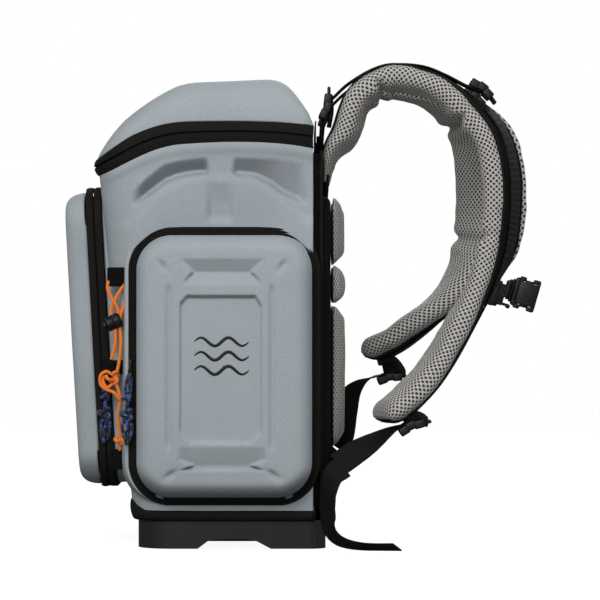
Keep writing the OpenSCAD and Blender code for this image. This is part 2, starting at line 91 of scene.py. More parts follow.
def bezier(a, b, c, d, n):
    """A cubic curve as n + 1 points."""
    t = np.linspace(0, 1, n + 1)[:, None]
    a, b, c, d = (np.array(p, float) for p in (a, b, c, d))
    s = 1 - t
    return s ** 3 * a + 3 * s * s * t * b + 3 * s * t * t * c + t ** 3 * d


def joined(*runs):
    """Runs of points end to end, without the repeated ends."""
    return np.vstack([runs[0]] + [r[1:] for r in runs[1:]])


RIM_LOW = joined(bezier((-137, 371), (-108, 371), (-86, 400), (-40, 401), 24),
                 bezier((-40, 401), (0, 404), (50, 404), (84, 396), 16))
RIM_HIGH = joined(bezier((-140, 384), (-114, 396), (-92, 423), (-40, 424), 24),
                  bezier((-40, 424), (0, 425), (50, 425), (84, 420), 16))
CREST = joined(bezier((-140, 390), (-120, 416), (-92, 443), (-54, 461), 20),
               bezier((-54, 461), (-46, 464), (-38, 465.4), (-28, 465.6), 6),
               bezier((-28, 465.6), (0, 466.5), (20, 467.5), (36, 468), 6),
               bezier((36, 468), (56, 468), (62, 457), (79, 441), 14),
               np.array([[79, 441], [84, 428]], float))


def along(curve, y):
    """The height of a curve of [y, z] points over y."""
    curve = np.asarray(curve, float)
    return np.interp(y, curve[:, 0], curve[:, 1])


def smoothstep(low, high, x):
    """0 at low, 1 at high, with a smooth change between."""
    t = np.clip((x - low) / (high - low), 0, 1)
    return t * t * (3 - 2 * t)


def unit(v):
    """Vectors scaled to length 1."""
    return v / np.maximum(np.linalg.norm(v, axis=-1, keepdims=True), 1e-9)


def catmull(points, step):
    """A smooth path through the points (rows of any width), sampled about every step mm."""
    p = np.array(points, float)
    out = []
    for i in range(len(p) - 1):
        a, b, c, d = p[max(i - 1, 0)], p[i], p[i + 1], p[min(i + 2, len(p) - 1)]
        n = max(2, int(round(np.linalg.norm((c - b)[:3]) / step)))
        t = (np.arange(n) / n)[:, None]
        out.append(0.5 * (2 * b + (c - a) * t + (2 * a - 5 * b + 4 * c - d) * t ** 2
                          + (3 * b - a - 3 * c + d) * t ** 3))
    return np.vstack(out + [p[-1:]])


def lengths(p):
    """Distance run along a path at each of its points."""
    return np.concatenate([[0], np.cumsum(np.linalg.norm(np.diff(p, axis=0), axis=-1))])


def resample(rows, s, where):
    """The rows of a path with distances s, read at other distances."""
    return np.stack([np.interp(where, s, column) for column in rows.T], -1)


def noise3(p, scale, seed=0):
    """Smooth repeatable noise in -1..1 from a few summed waves; p is in mm."""
    rng = np.random.default_rng(seed)
    total = np.zeros(p.shape[:-1])
    for k in range(6):
        direction = unit(rng.normal(size=3)) * (0.6 + 0.35 * k) * 2 * math.pi / scale
        total += np.sin(p @ direction + rng.uniform(0, 6.28)) / (1 + 0.4 * k)
    return total / 2.6


# ------------------------------------------------------------------ mesh helpers


def mesh_object(name, verts, faces, material, uv=None, smooth=True):
    """A new object from points in mm and faces, with one UV per point."""
    mesh = bpy.data.meshes.new(name)
    mesh.from_pydata((np.asarray(verts) * MM).tolist(), [], [tuple(f) for f in faces])
    if uv is not None:
        layer = mesh.uv_layers.new(name="UVMap")
        loops = np.zeros(len(mesh.loops), np.int32)
        mesh.loops.foreach_get("vertex_index", loops)
        layer.data.foreach_set("uv", np.asarray(uv, np.float32)[loops].ravel())
    mesh.polygons.foreach_set("use_smooth", [smooth] * len(mesh.polygons))
    mesh.update()
    obj = bpy.data.objects.new(name, mesh)
    bpy.context.scene.collection.objects.link(obj)
    if material:
        mesh.materials.append(material)
    return obj


def grid_faces(nu, nv, closed_u=False, closed_v=False, flip=False):
    """The quads of a grid of nu by nv points, closed into a loop where asked."""
    iu = np.arange(nu if closed_u else nu - 1)
    iv = np.arange(nv if closed_v else nv - 1)
    a, b = np.meshgrid(iu, iv, indexing="ij")
    a2, b2 = (a + 1) % nu, (b + 1) % nv
    quads = np.stack([a * nv + b, a2 * nv + b, a2 * nv + b2, a * nv + b2], -1).reshape(-1, 4)
    return [tuple(int(i) for i in f) for f in (quads[:, ::-1] if flip else quads)]


def sheet(name, grid, material, uv=None, closed_u=False, closed_v=False, capped=False):
    """A grid of points (nu, nv, 3) as a mesh facing outwards; capped fills its first and last rows."""
    nu, nv = grid.shape[:2]
    faces = grid_faces(nu, nv, closed_u, closed_v)
    if capped:
        faces.append(tuple(range(nv)))
        faces.append(tuple((nu - 1) * nv + k for k in reversed(range(nv))))
    flat_uv = None if uv is None else uv.reshape(-1, 2)
    return outward(mesh_object(name, grid.reshape(-1, 3), faces, material, flat_uv))


def uv_grid(u, v):
    """Texture coordinates of a grid from the lengths along its columns and across its rows."""
    return np.stack(np.broadcast_arrays(u[:, None], v[None, :]), -1)


def join(name, objects):
    """Joins objects into the first and renames it."""
    bpy.ops.object.select_all(action="DESELECT")
    for o in objects:
        o.select_set(True)
    bpy.context.view_layer.objects.active = objects[0]
    if len(objects) > 1:
        bpy.ops.object.join()
    objects[0].name = name
    return objects[0]


def apply_modifiers(obj):
    """Turns an object's modifiers into plain mesh."""
    bpy.context.view_layer.update()
    graph = bpy.context.evaluated_depsgraph_get()
    mesh = bpy.data.meshes.new_from_object(obj.evaluated_get(graph))
    obj.modifiers.clear()
    obj.data = mesh
    return obj


def modifier(obj, kind, **settings):
    """Adds a modifier of a kind with its settings."""
    m = obj.modifiers.new(kind.title(), kind)
    for key, value in settings.items():
        setattr(m, key, value)
    return m


def mirrored(obj, name):
    """A copy mirrored across the middle plane, with its faces turned back the right way."""
    mesh = obj.data.copy()
    mesh.transform(Matrix.Scale(-1, 4, Vector((1, 0, 0))))
    mesh.flip_normals()
    copy = bpy.data.objects.new(name, mesh)
    bpy.context.scene.collection.objects.link(copy)
    return copy


def flip_x(obj, name):
    """Replaces a right-side piece by its mirror image."""
    new = mirrored(obj, name)
    bpy.data.objects.remove(obj)
    return new


def outward(obj):
    """Turns a mesh's faces so that they all face out."""
    bm = bmesh.new()
    bm.from_mesh(obj.data)
    bmesh.ops.recalc_face_normals(bm, faces=bm.faces)
    bm.to_mesh(obj.data)
    bm.free()
    return obj


def thicken(obj, thickness, offset=0.0):
    """Gives a sheet its thickness in mm; offset -1 keeps it all inside the sheet."""
    modifier(obj, "SOLIDIFY", thickness=thickness * MM, offset=offset)
    return apply_modifiers(obj)


def lined(obj, thickness):
    """Gives a shell's skin its thickness in mm, with lining cloth on the inner face."""
    obj.data.materials.append(LINING)
    modifier(obj, "SOLIDIFY", thickness=thickness * MM, offset=-1.0, material_offset=1, material_offset_rim=0)
    return apply_modifiers(obj)


def place(obj, body, slot, *nodes):
    """Says which body a piece rides on and hides the CAD nodes it stands for; its colour slot is not used."""
    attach(obj, body)
    if nodes:
        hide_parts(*nodes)
    return obj


def place_side(obj, side, part, body, slot, *nodes):
    """Places a piece that was made on the right, mirrored where side is left."""
    name = side + part
    if side == "left":
        obj = flip_x(obj, name)
    obj.name = name
    return place(obj, body, slot, *nodes)


def place_both(name, right, node):
    """Joins a fabric piece of the right side and its mirror image, and places them on the pack."""
    place(join(name, [right, mirrored(right, name + "_left")]), "pack", "fabric_black", node)


def span(obj, bodies, start, end, slot, *nodes):
    """Bakes a piece that crosses a joint into its place and hides the CAD nodes it stands for; bodies, start
    and end (mm) and slot are not used.
    """
    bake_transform(obj)
    if nodes:
        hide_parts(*nodes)
    return obj


# ------------------------------------------------------------------ plan, rings and sweeps


def front_y(z, g=0.0):
    """The body's front face at height z, grown outwards by g."""
    return FOOT_Y - LEAN * z - g


class Wrap:
    """Columns round the body's plan, from the right rear corner over the front to the left rear."""

    def __init__(self, g=0.0, step=2.2, rear=True):
        self.g = g
        half, r = HALF_W + g, CORNER_R + g
        self.r = r
        side = np.linspace(0, 1, max(3, int(175 / step)))
        turn = np.linspace(0, math.pi / 2, max(5, int(1.57 * r / step)))[1:]
        front = np.linspace(1, -1, max(3, int(2 * (half - r) / step)))[1:]
        x = np.concatenate([np.full(side.size, half), half - r + r * np.cos(turn), (half - r) * front])
        a = np.concatenate([side, np.ones(turn.size + front.size)])
        b = np.concatenate([np.zeros(side.size), np.sin(turn), np.ones(front.size)])
        nx = np.concatenate([np.ones(side.size), np.cos(turn), np.zeros(front.size)])
        ny = np.concatenate([np.zeros(side.size), -np.sin(turn), -np.ones(front.size)])
        back = slice(turn.size + side.size - 1, None, -1)
        x = np.concatenate([x, -x[back]])
        a, b, ny = (np.concatenate([q, q[back]]) for q in (a, b, ny))
        nx = np.concatenate([nx, -nx[back]])
        if rear:
            extra = np.linspace(-1, 1, max(3, int(2 * half / step / 2)))[1:-1] * half
            zero, one = np.zeros(extra.size), np.ones(extra.size)
            x, a, b = np.concatenate([x, extra]), np.concatenate([a, zero]), np.concatenate([b, zero])
            nx, ny = np.concatenate([nx, zero]), np.concatenate([ny, one])
        self.x, self.a, self.b, self.nx, self.ny = x, a, b, nx, ny

    def y(self, z):
        """Each column's Y at heights z (columns first)."""
        a, b = self.a[:, None], self.b[:, None]
        return (REAR_Y + self.g) * (1 - a) + a * (front_y(z, self.g) + self.r) - b * self.r

    def grid(self, low, high, rows):
        """Points (column, row, 3) with heights from low(y) to high(y) at the fractions in rows."""
        z = np.full((self.x.size, len(rows)), 380.0)
        for _ in range(6):
            y = self.y(z)
            z = low(y) + (high(y) - low(y)) * np.asarray(rows)[None, :]
        return np.stack([np.broadcast_to(self.x[:, None], z.shape), self.y(z), z], -1)

    def push(self, grid, out):
        """Moves a grid's points outwards by out (column, row)."""
        shift = np.stack([self.nx[:, None] * out, self.ny[:, None] * out, 0 * out], -1)
        return grid + shift


def outline(corners, step=None, count=None):
    """Evenly spaced rows [x, y, normal x, normal y] round corners (centre x, centre y, r, angle, points)."""
    rows = [(x + r * math.cos(t), y + r * math.sin(t), math.cos(t), math.sin(t))
            for x, y, r, start, n in corners for t in np.radians(np.linspace(start, start + 90, n))]
    rows = np.array(rows + rows[:1])
    s = lengths(rows[:, :2])
    return resample(rows, s, np.linspace(0, s[-1], count or int(s[-1] / step), endpoint=False))


def ring(half_x, half_y, r, step):
    """Points and outward normals of a rounded rectangle, evenly spaced, first point at +x."""
    n = max(4, int(r * math.pi / 2 / step))
    p = outline([(cx * (half_x - r), cy * (half_y - r), r, start, n)
                 for cx, cy, start in ((1, 1, 0), (-1, 1, 90), (-1, -1, 180), (1, -1, 270))], step)
    return p[:, :2], unit(p[:, 2:])


def without_foot(edge, normal, half):
    """A ring's points outside the hinge's gap at its foot, from one side of the gap to the other."""
    keep = ~((np.abs(edge[:, 0]) < half) & (edge[:, 1] < 0))
    first = int(np.argmax(~keep)) + int(np.sum(~keep))
    order = (np.arange(keep.sum()) + first) % len(edge)
    return edge[order], normal[order]


def inside_distance(p, half_x, half_y, r):
    """How far points lie inside a rounded rectangle."""
    q = np.abs(p) - np.array([half_x - r, half_y - r])
    outer = np.linalg.norm(np.maximum(q, 0), axis=-1)
    return r - outer - np.minimum(np.max(q, -1), 0)


def crown(a, reach, n):
    """A wall that rises from 0 at the edge to 1 at reach mm inside it."""
    t = np.clip(1 - a / reach, 0, 1)
    return (1 - t ** n) ** (1 / n)


def star(half_x, half_y, r, step, rings, power=1.7):
    """A disc-like grid over a rounded rectangle: rows of rings from the edge to the centre."""
    edge, _ = ring(half_x, half_y, r, step)
    return edge[None] * (1 - toward_centre(rings, power))


def toward_centre(rings, power=1.0):
    """Fractions of the way to the centre for rows of rings, denser near the edge as power grows."""
    return (np.linspace(0, 1, rings) ** power)[:, None, None] * NEAR_CENTRE


def frames(path):
    """Centre line, width and outward directions of rows [x, y, z, twist]."""
    p = np.asarray(path, float)
    t = unit(np.gradient(p[:, :3], axis=0))
    w0 = unit(np.array([1.0, 0, 0]) - t[:, :1] * t)
    n0 = np.cross(w0, t)
    s = np.radians(p[:, 3:4])
    return p[:, :3], w0 * np.cos(s) + n0 * np.sin(s), n0 * np.cos(s) - w0 * np.sin(s)


def section(width, thick, n_wide, n_thick, count):
    """A closed rounded cross-section as [across, up], its first and last points equal."""
    t = np.linspace(math.pi / 2, math.pi / 2 + 2 * math.pi, count)
    c, s = np.cos(t), np.sin(t)
    return np.stack([width / 2 * np.sign(c) * np.abs(c) ** (2 / n_wide),
                     thick / 2 * np.sign(s) * np.abs(s) ** (2 / n_thick)], -1)


def carry(name, centre, across, up, profile, material, lift=0.0, shift=0.0):
    """Carries a closed cross-section [across, up] along a centre line, with capped ends."""
    moved = profile + [shift, lift]
    grid = (centre[:, None] + moved[None, :, :1] * across[:, None] + moved[None, :, 1:] * up[:, None])
    uv = uv_grid(lengths(centre), lengths(profile))
    return sheet(name, grid, material, uv, capped=True)


def ribbon(name, path, width, thick, material, lift=0.0, shift=0.0, step=2.5):
    """A woven strap with softly rounded edges along rows [x, y, z, twist]."""
    centre, across, up = frames(catmull(path, step) if step else np.array(path, float))
    return carry(name, centre, across, up, section(width, thick, 9, 2.2, 25), material, lift, shift)


def tube(name, path, radius, material, sides=12, step=1.5):
    """A round cord along a path of rows [x, y, z]."""
    rows = catmull(path, step)
    t = unit(np.gradient(rows, axis=0))
    side = np.zeros_like(t)
    side[0] = unit(np.cross(t[0], [0.31, 0.87, 0.38]))
    for i in range(1, len(t)):
        side[i] = unit(side[i - 1] - t[i] * (side[i - 1] @ t[i]))
    other = np.cross(t, side)
    turn = np.linspace(0, 2 * math.pi, sides + 1)
    grid = rows[:, None] + radius * (np.cos(turn)[None, :, None] * side[:, None]
                                     + np.sin(turn)[None, :, None] * other[:, None])
    return sheet(name, grid, material, uv_grid(lengths(rows), turn * radius), capped=True)


def knot_path(centre, size, axis=(0, 0, 1)):
    """One turn of an overhand knot about a centre."""
    t = np.linspace(0.35, 2 * math.pi - 0.35, 40)
    p = np.stack([np.sin(t) + 2 * np.sin(2 * t), np.cos(t) - 2 * np.cos(2 * t), -1.4 * np.sin(3 * t)], -1)
    spin = Vector((0, 0, 1)).rotation_difference(Vector(axis)).to_matrix()
    return np.array(centre) + p / 3.0 * size @ np.array(spin).T


def block(centre, size, radius=0.8, turn=None, segments=3):
    """A box with rounded edges as (verts, faces), turned by a matrix about the origin."""
    bm = bmesh.new()
    bmesh.ops.create_cube(bm, size=1.0)
    for v in bm.verts:
        v.co = Vector((v.co.x * size[0], v.co.y * size[1], v.co.z * size[2]))
    r = min(radius, min(size) * 0.45)
    bmesh.ops.bevel(bm, geom=bm.edges[:], offset=r, segments=segments, profile=0.5, affect="EDGES")
    m = (turn or Matrix.Identity(3)).to_4x4()
    verts = [tuple(m @ (v.co + Vector(centre))) for v in bm.verts]
    faces = [tuple(v.index for v in f.verts) for f in bm.faces]
    bm.free()
    return verts, faces


def blocks(name, parts, material, matrix=None):
    """Several (verts, faces) parts as one object, placed by a matrix in millimetres."""
    verts, faces = [], []
    for v, f in parts:
        faces += [tuple(i + len(verts) for i in face) for face in f]
        verts += v
    if matrix is not None:
        verts = [tuple(matrix @ Vector(v)) for v in verts]
    return mesh_object(name, np.array(verts), faces, material)


def at(x, y, z, turn_x=0.0):
    """A place in mm, turned about x in degrees."""
    return Matrix.Translation((x, y, z)) @ Matrix.Rotation(math.radians(turn_x), 4, "X")


def lathe(profile, sides=40):
    """A turned part about local z from rows [radius, z], as (verts, faces)."""
    turn = np.linspace(0, 2 * math.pi, sides, endpoint=False)
    verts = [(r * math.cos(t), r * math.sin(t), z) for r, z in profile for t in turn]
    return verts, grid_faces(len(profile), sides, closed_v=True)


# ------------------------------------------------------------------ materials


class Paint:
    """A small builder for node materials."""

    def __init__(self, name, colour, rough, metallic=0.0, sheen=0.0, spec=0.5):
        self.mat = bpy.data.materials.new(name)
        self.mat.use_nodes = True
        self.tree = self.mat.node_tree
        self.bsdf = self.tree.nodes["Principled BSDF"]
        self.bsdf.inputs["Roughness"].default_value = rough
        self.bsdf.inputs["Metallic"].default_value = metallic
        self.bsdf.inputs["Specular IOR Level"].default_value = spec
        self.bsdf.inputs["Sheen Weight"].default_value = sheen
        self.bsdf.inputs["Sheen Roughness"].default_value = 0.4
        self.rough = rough
        self.colour = self.rgb(colour)
        self.bumps = None

    @staticmethod
    def linear(c):
        """An 8-bit sRGB colour as linear RGBA."""
        return tuple((v / 255 / 12.92) if v / 255 <= 0.04045 else ((v / 255 + 0.055) / 1.055) ** 2.4
                     for v in c) + (1.0,)

    def node(self, kind, **values):
        n = self.tree.nodes.new(kind)
        for key, value in values.items():
            if hasattr(n, key):
                setattr(n, key, value)
            else:
                n.inputs[key.replace("_", " ")].default_value = value
        return n

    def link(self, a, b):
        self.tree.links.new(a, b)

    def rgb(self, c):
        n = self.node("ShaderNodeRGB")
        n.outputs[0].default_value = self.linear(c)
        return n.outputs[0]

    def math(self, op, a, b=None, c=None):
        n = self.node("ShaderNodeMath", operation=op)
        for k, v in enumerate((a, b, c)):
            if v is None:
                continue
            if isinstance(v, (int, float)):
                n.inputs[k].default_value = v
            else:
                self.link(v, n.inputs[k])
        return n.outputs[0]

    def uv(self):
        """The two texture coordinates, in mm."""
        s = self.node("ShaderNodeSeparateXYZ")
        self.link(self.node("ShaderNodeTexCoord").outputs["UV"], s.inputs[0])
        return s.outputs[0], s.outputs[1]

    def spot(self):
        """Object coordinates, in metres."""
        return self.node("ShaderNodeTexCoord").outputs["Object"]

    def noise(self, scale, detail=3.0, rough=0.5, stretch=None):
        n = self.node("ShaderNodeTexNoise", Scale=scale, Detail=detail, Roughness=rough)
        source = self.spot()
        if stretch:
            m = self.node("ShaderNodeMapping")
            m.inputs["Scale"].default_value = stretch
            self.link(source, m.inputs["Vector"])
            source = m.outputs[0]
        self.link(source, n.inputs["Vector"])
        return n.outputs["Fac"]

    def wave(self, value, pitch):
        """cos of a coordinate with the given pitch, 0 to 1."""
        turn = self.math("MULTIPLY", value, 2 * math.pi / pitch)
        return self.math("MULTIPLY_ADD", self.math("COSINE", turn), 0.5, 0.5)

    def ramp(self, value, low, high):
        """0 where value is low, 1 where it is high."""
        n = self.node("ShaderNodeMapRange", interpolation_type="SMOOTHSTEP")
        n.inputs["From Min"].default_value = low
        n.inputs["From Max"].default_value = high
        self.link(value, n.inputs["Value"])
        return n.outputs["Result"]

    def mix(self, factor, other, amount=1.0):
        """Blends the colour towards another where factor is 1."""
        n = self.node("ShaderNodeMix", data_type="RGBA")
        f = self.math("MULTIPLY", factor, amount)
        self.link(f, n.inputs[0])
        self.link(self.colour, n.inputs[6])
        self.link(self.rgb(other), n.inputs[7])
        self.colour = n.outputs[2]
        return self

    def bump(self, height, distance_mm, strength=1.0):
        n = self.node("ShaderNodeBump")
        n.inputs["Strength"].default_value = strength
        n.inputs["Distance"].default_value = distance_mm * MM
        self.link(height, n.inputs["Height"])
        if self.bumps is not None:
            self.link(self.bumps, n.inputs["Normal"])
        self.bumps = n.outputs[0]
        return self

    def roughen(self, factor, amount):
        self.link(self.math("MULTIPLY_ADD", factor, amount, self.rough - amount / 2),
                  self.bsdf.inputs["Roughness"])
        return self

    def done(self):
        self.link(self.colour, self.bsdf.inputs["Base Color"])
        if self.bumps is not None:
            self.link(self.bumps, self.bsdf.inputs["Normal"])
        return self.mat


def woven(p, pitch_mm, depth_mm, dark, amount):
    """A plain weave seen on every side of a moulded shell."""
    s = p.node("ShaderNodeSeparateXYZ")
    p.link(p.spot(), s.inputs[0])
    lean = p.math("ADD", s.outputs[0], s.outputs[1])
    a = p.wave(lean, pitch_mm * MM)
    b = p.wave(s.outputs[2], pitch_mm * MM)
    weave = p.math("ABSOLUTE", p.math("SUBTRACT", a, b))
    p.mix(weave, dark, amount)
    p.bump(weave, depth_mm, 0.5)
    return weave


def shell_material(name, colour, dark):
    """The pale moulded shell: speckled, finely woven, with painted shade that makes it a little darker
    underneath.
    """
    p = Paint(name, colour, 0.72, sheen=0.08, spec=0.3)
    facing = p.node("ShaderNodeSeparateXYZ")
    p.link(p.node("ShaderNodeNewGeometry").outputs["Normal"], facing.inputs[0])
    # painted shade: faces that turn downwards (by the normal's z) are mixed towards a deeper grey
    p.mix(p.ramp(p.math("MULTIPLY", facing.outputs[2], -1.0), 0.08, 0.55), [0.62 * c for c in dark], 0.55)
    p.mix(p.ramp(p.noise(7.0, 3.0), 0.35, 0.7), dark, 0.22)
    p.mix(p.ramp(p.noise(900.0, 2.0), 0.35, 0.70), dark, 0.34)
    woven(p, 1.5, 0.14, dark, 0.22)
    p.bump(p.noise(420.0, 2.0), 0.22, 0.6)
    p.roughen(p.noise(30.0), 0.15)
    return p.done()


def cloth_material(name, colour, light, pitch=0.9):
    """Plain-woven cloth with soft worn patches."""
    p = Paint(name, colour, 0.9, sheen=0.0, spec=0.12)
    woven(p, pitch, 0.18, light, 0.25)
    p.mix(p.ramp(p.noise(25.0, 4.0), 0.4, 0.75), light, 0.25)
    p.bump(p.noise(60.0, 3.0), 0.6, 0.35)
    return p.done()


def webbing_material(name, colour, light, pitch):
    """Webbing with ribs across its length, pitch mm apart."""
    p = Paint(name, colour, 0.7, sheen=0.0, spec=0.18)
    u, v = p.uv()
    rib = p.wave(u, pitch)
    thread = p.wave(v, 1.25)
    weave = p.math("MULTIPLY", rib, p.math("MULTIPLY_ADD", thread, 0.35, 0.65))
    p.mix(weave, light, 0.65)
    p.mix(p.ramp(p.noise(40.0, 3.0), 0.45, 0.8), light, 0.3)
    p.bump(weave, 0.45, 0.8)
    return p.done()


def tape_material(name, colour, light):
    """Zip tape: lengthwise ribs with a fine cross weave."""
    p = Paint(name, colour, 0.75, sheen=0.0, spec=0.16)
    u, v = p.uv()
    rib = p.wave(v, 2.3)
    fine = p.wave(u, 0.8)
    p.mix(rib, light, 0.6)
    p.mix(fine, light, 0.25)
    p.bump(rib, 0.35, 0.7)
    p.bump(fine, 0.1, 0.6)
    return p.done()


def mesh_material(name, colour, hole, shade):
    """Spacer mesh: a pale net with rows of small dark holes, each row offset by half a cell."""
    p = Paint(name, colour, 0.62, sheen=0.2, spec=0.45)
    u, v = p.uv()
    a = p.wave(u, 5.4)
    b = p.wave(v, 5.6)
    both = p.math("ABSOLUTE", p.math("SUBTRACT", p.math("ADD", a, b), 1.0))
    open_cell = p.ramp(both, 0.42, 0.62)
    p.mix(p.ramp(p.noise(1200.0, 1.0), 0.4, 0.7), shade, 0.35)
    thread = p.wave(p.math("ADD", u, v), 0.9)
    p.mix(thread, shade, 0.3)
    p.mix(open_cell, hole, 0.97)
    p.bump(thread, 0.12, 0.6)
    p.bump(p.math("SUBTRACT", 1.0, open_cell), 1.1, 1.0)
    return p.done()


def cord_material(name, colour, other, share=0.5, flecks=0.0):
    """Braided cord: two sets of strands crossing as diamonds, with optional coloured flecks."""
    p = Paint(name, colour, 0.55, sheen=0.2)
    u, v = p.uv()
    plus = p.wave(p.math("ADD", u, v), 2.0)
    minus = p.wave(p.math("SUBTRACT", u, v), 2.0)
    braid = p.math("MAXIMUM", plus, minus)
    p.mix(p.ramp(p.noise(flecks, 1.0), share, share + 0.1) if flecks
          else p.ramp(p.math("MULTIPLY", plus, minus), share, share + 0.25), other, 0.9)
    p.bump(braid, 0.5, 0.9)
    return p.done()


def plastic_material(name, colour, light, rough=0.45, grain=0.12):
    """Moulded plastic with a fine grain."""
    p = Paint(name, colour, rough, spec=0.3)
    p.mix(p.ramp(p.noise(18.0, 4.0), 0.45, 0.8), light, 0.35)
    p.bump(p.noise(1100.0, 2.0), grain, 0.6)
    p.roughen(p.noise(80.0), 0.18)
    return p.done()


def metal_material(name, colour, light):
    """Coated or bare metal with a few brighter specks."""
    p = Paint(name, colour, 0.38, metallic=0.85)
    p.mix(p.ramp(p.noise(300.0, 3.0), 0.5, 0.75), light, 0.6)
    p.bump(p.noise(900.0, 2.0), 0.05, 0.5)
    p.roughen(p.noise(150.0), 0.2)
    return p.done()


SHELL = shell_material("shell_laminate", (166, 174, 179), (122, 128, 133))
LINING = cloth_material("lining_cloth", (22, 22, 24), (38, 38, 41), 1.2)
BACK_CLOTH = cloth_material("back_cloth", (8, 8, 8), (20, 20, 21), 1.6)
WEBBING = webbing_material("webbing_weave", (6, 6, 6), (24, 23, 22), 1.9)
RIBBED = webbing_material("ribbed_webbing", (5, 5, 5), (40, 39, 37), 5.4)
TAPE = tape_material("zip_tape_weave", (11, 10, 9), (26, 25, 23))
MESH = mesh_material("spacer_mesh", (196, 193, 187), (24, 22, 20), (146, 143, 137))
ORANGE = cord_material("orange_cord", (255, 136, 28), (226, 92, 14), 0.55)
BLUE = cord_material("blue_black_cord", (9, 10, 13), (44, 92, 170), 0.5, 260.0)
BUCKLE = plastic_material("buckle_plastic", (9, 9, 10), (20, 20, 21), 0.45, 0.06)
BASE = plastic_material("base_plastic", (23, 24, 25), (38, 39, 40), 0.58, 0.2)
SHEET = plastic_material("sheet_plastic", (205, 206, 203), (225, 226, 224), 0.5, 0.08)
SLIDER = metal_material("slider_metal", (38, 38, 40), (90, 90, 92))
RIVET = metal_material("rivet_steel", (150, 150, 152), (190, 190, 192))
PRINT = plastic_material("printed_ink", (22, 22, 24), (34, 34, 36), 0.6, 0.05)


# ------------------------------------------------------------------ moulded relief


def body_relief(y, z):
    """How far the moulded side stands out from its flat plane, in mm."""
    relief = 0.0
    # two channels under the rim, each deepest along its lower lip: (depth, power, lip, roof, ends)
    for depth, power, lip, roof, ends in (
            (15.0, 1.1, [(-93, 342), (-79, 353), (-63, 365), (-50, 370), (-36, 372.5), (-22, 373)],
             [(-97, 352), (-82, 366), (-66, 379), (-50, 383), (-22, 386)], ((-99, -84), (-20, -25))),
            (11.5, 1.0, [(3, 372), (26, 370), (40, 363), (53, 353), (76, 343)],
             [(3, 386), (44, 385), (60, 383), (76, 380)], ((2, 7), (80, 66)))):
        low, high = along(lip, y), along(roof, y) + 2
        fall = np.clip((high - z) / (high - low), 0, 1.0) ** power
        reach = smoothstep(*ends[0], y) * smoothstep(*ends[1], y)
        relief = relief - depth * fall * smoothstep(low - 3.5, low + 3.5, z) * reach
    shoulder = [(-99, 325), (-70, 357), (-45, 369.5), (-22, 373), (5, 372), (26, 370), (53, 351), (75, 329)]
    below = along(shoulder, y) - z
    dome = 3.8 * smoothstep(-3, 9, below) * smoothstep(70, 18, below) * smoothstep(-116, -92, y)
    stem = 5.0 * smoothstep(-24, -17, y) * smoothstep(5, -2, y)
    stem = stem * smoothstep(323, 331, z) * smoothstep(378, 340, z)
    rim = 2.0 * np.exp(-((along(RIM_LOW, y) - 3 - z) / 7.0) ** 2)
    return relief + dome + rim - stem


def poly_mask(y, z, corners, soft):
    """1 inside a convex outline given anticlockwise, fading over soft mm at its edges."""
    c = np.array(corners, float)
    inside = np.full(y.shape, 1e9)
    for p, q in zip(c, np.roll(c, -1, axis=0)):
        d = (q - p) / np.linalg.norm(q - p)
        inside = np.minimum(inside, (z - p[1]) * d[0] - (y - p[0]) * d[1])
    return smoothstep(-soft / 2, soft / 2, inside)


def end_pit(y, z, depth, lip, valley, ridge, steep):
    """A hipped pit across a door, deepest along its valley line; lip, valley and ridge are heights, and
    a steep pit falls from its lip three times as fast."""
    outer = (lip - z) / (lip - valley) * (3 if steep else 1)
    inner = (z - ridge) / (valley - ridge)
    profile = np.clip(np.minimum(outer, inner), 0, 1)
    reach = np.clip(np.abs(z - valley) / abs(lip - valley), 0, 1)
    half = 28.5 + 13.5 * reach
    return depth * profile * smoothstep(half + 1.6, half - 1.6, np.abs(y + 6.5))


def door_relief(y, z):
    """The moulded relief of a side door; negative is sunk."""
    sunk = end_pit(y, z, 5.0, 288, 274, 261.5, False) + end_pit(y, z, 4.6, 79, 84.5, 103, True)
    panel = poly_mask(y, z, [(-38, 107), (22, 107), (32, 117), (32, 241), (26, 250.5), (-41, 250.5),
                             (-47.5, 243), (-47.5, 117)], 3.0)
    sunk = sunk + PANEL_SUNK * np.minimum(panel, smoothstep(262, 251, z) * smoothstep(100, 109, z))
    # a groove on each side of the panel, then a dimple near each corner
    for centre, half in ((-59.0, 4.6), (42.5, 4.4)):
        reach = np.clip(1 - np.abs(y - centre) / half, 0, 1)
        sunk = sunk + 2.6 * reach * smoothstep(96, 108, z) * smoothstep(266, 254, z)
    for cy, cz, turn in ((-64.5, 280, -50), (52.5, 280, 50), (-57, 75, 35), (44, 75, -35)):
        c, s = math.cos(math.radians(turn)), math.sin(math.radians(turn))
        u, v = (y - cy) * c + (z - cz) * s, (z - cz) * c - (y - cy) * s
        sunk = sunk + 2.4 * np.exp(-(u / 7.5) ** 2 - (v / 3.0) ** 2)
    return -sunk


# ------------------------------------------------------------------ body, lining and base


def body_shell():
    """The moulded body's wall, from the base up to the lid's zip."""
    wrap = Wrap(0.0, 2.1)
    grid = wrap.grid(lambda y: np.full_like(y, 29.0), lambda y: along(RIM_LOW, y) + 1.0,
                     np.linspace(0, 1, 180))
    sideways = np.clip(np.abs(wrap.nx), 0, 1)[:, None] ** 1.5
    out = body_relief(grid[..., 1], grid[..., 2]) * sideways
    out = out * (wrap.ny[:, None] < 0.99)
    out = out + 0.35 * noise3(grid, 120, 3)
    obj = sheet("body_shell", wrap.push(grid, out), SHELL, closed_u=True)
    place(lined(obj, 4.5), "pack", "shell_grey", "main_shell")


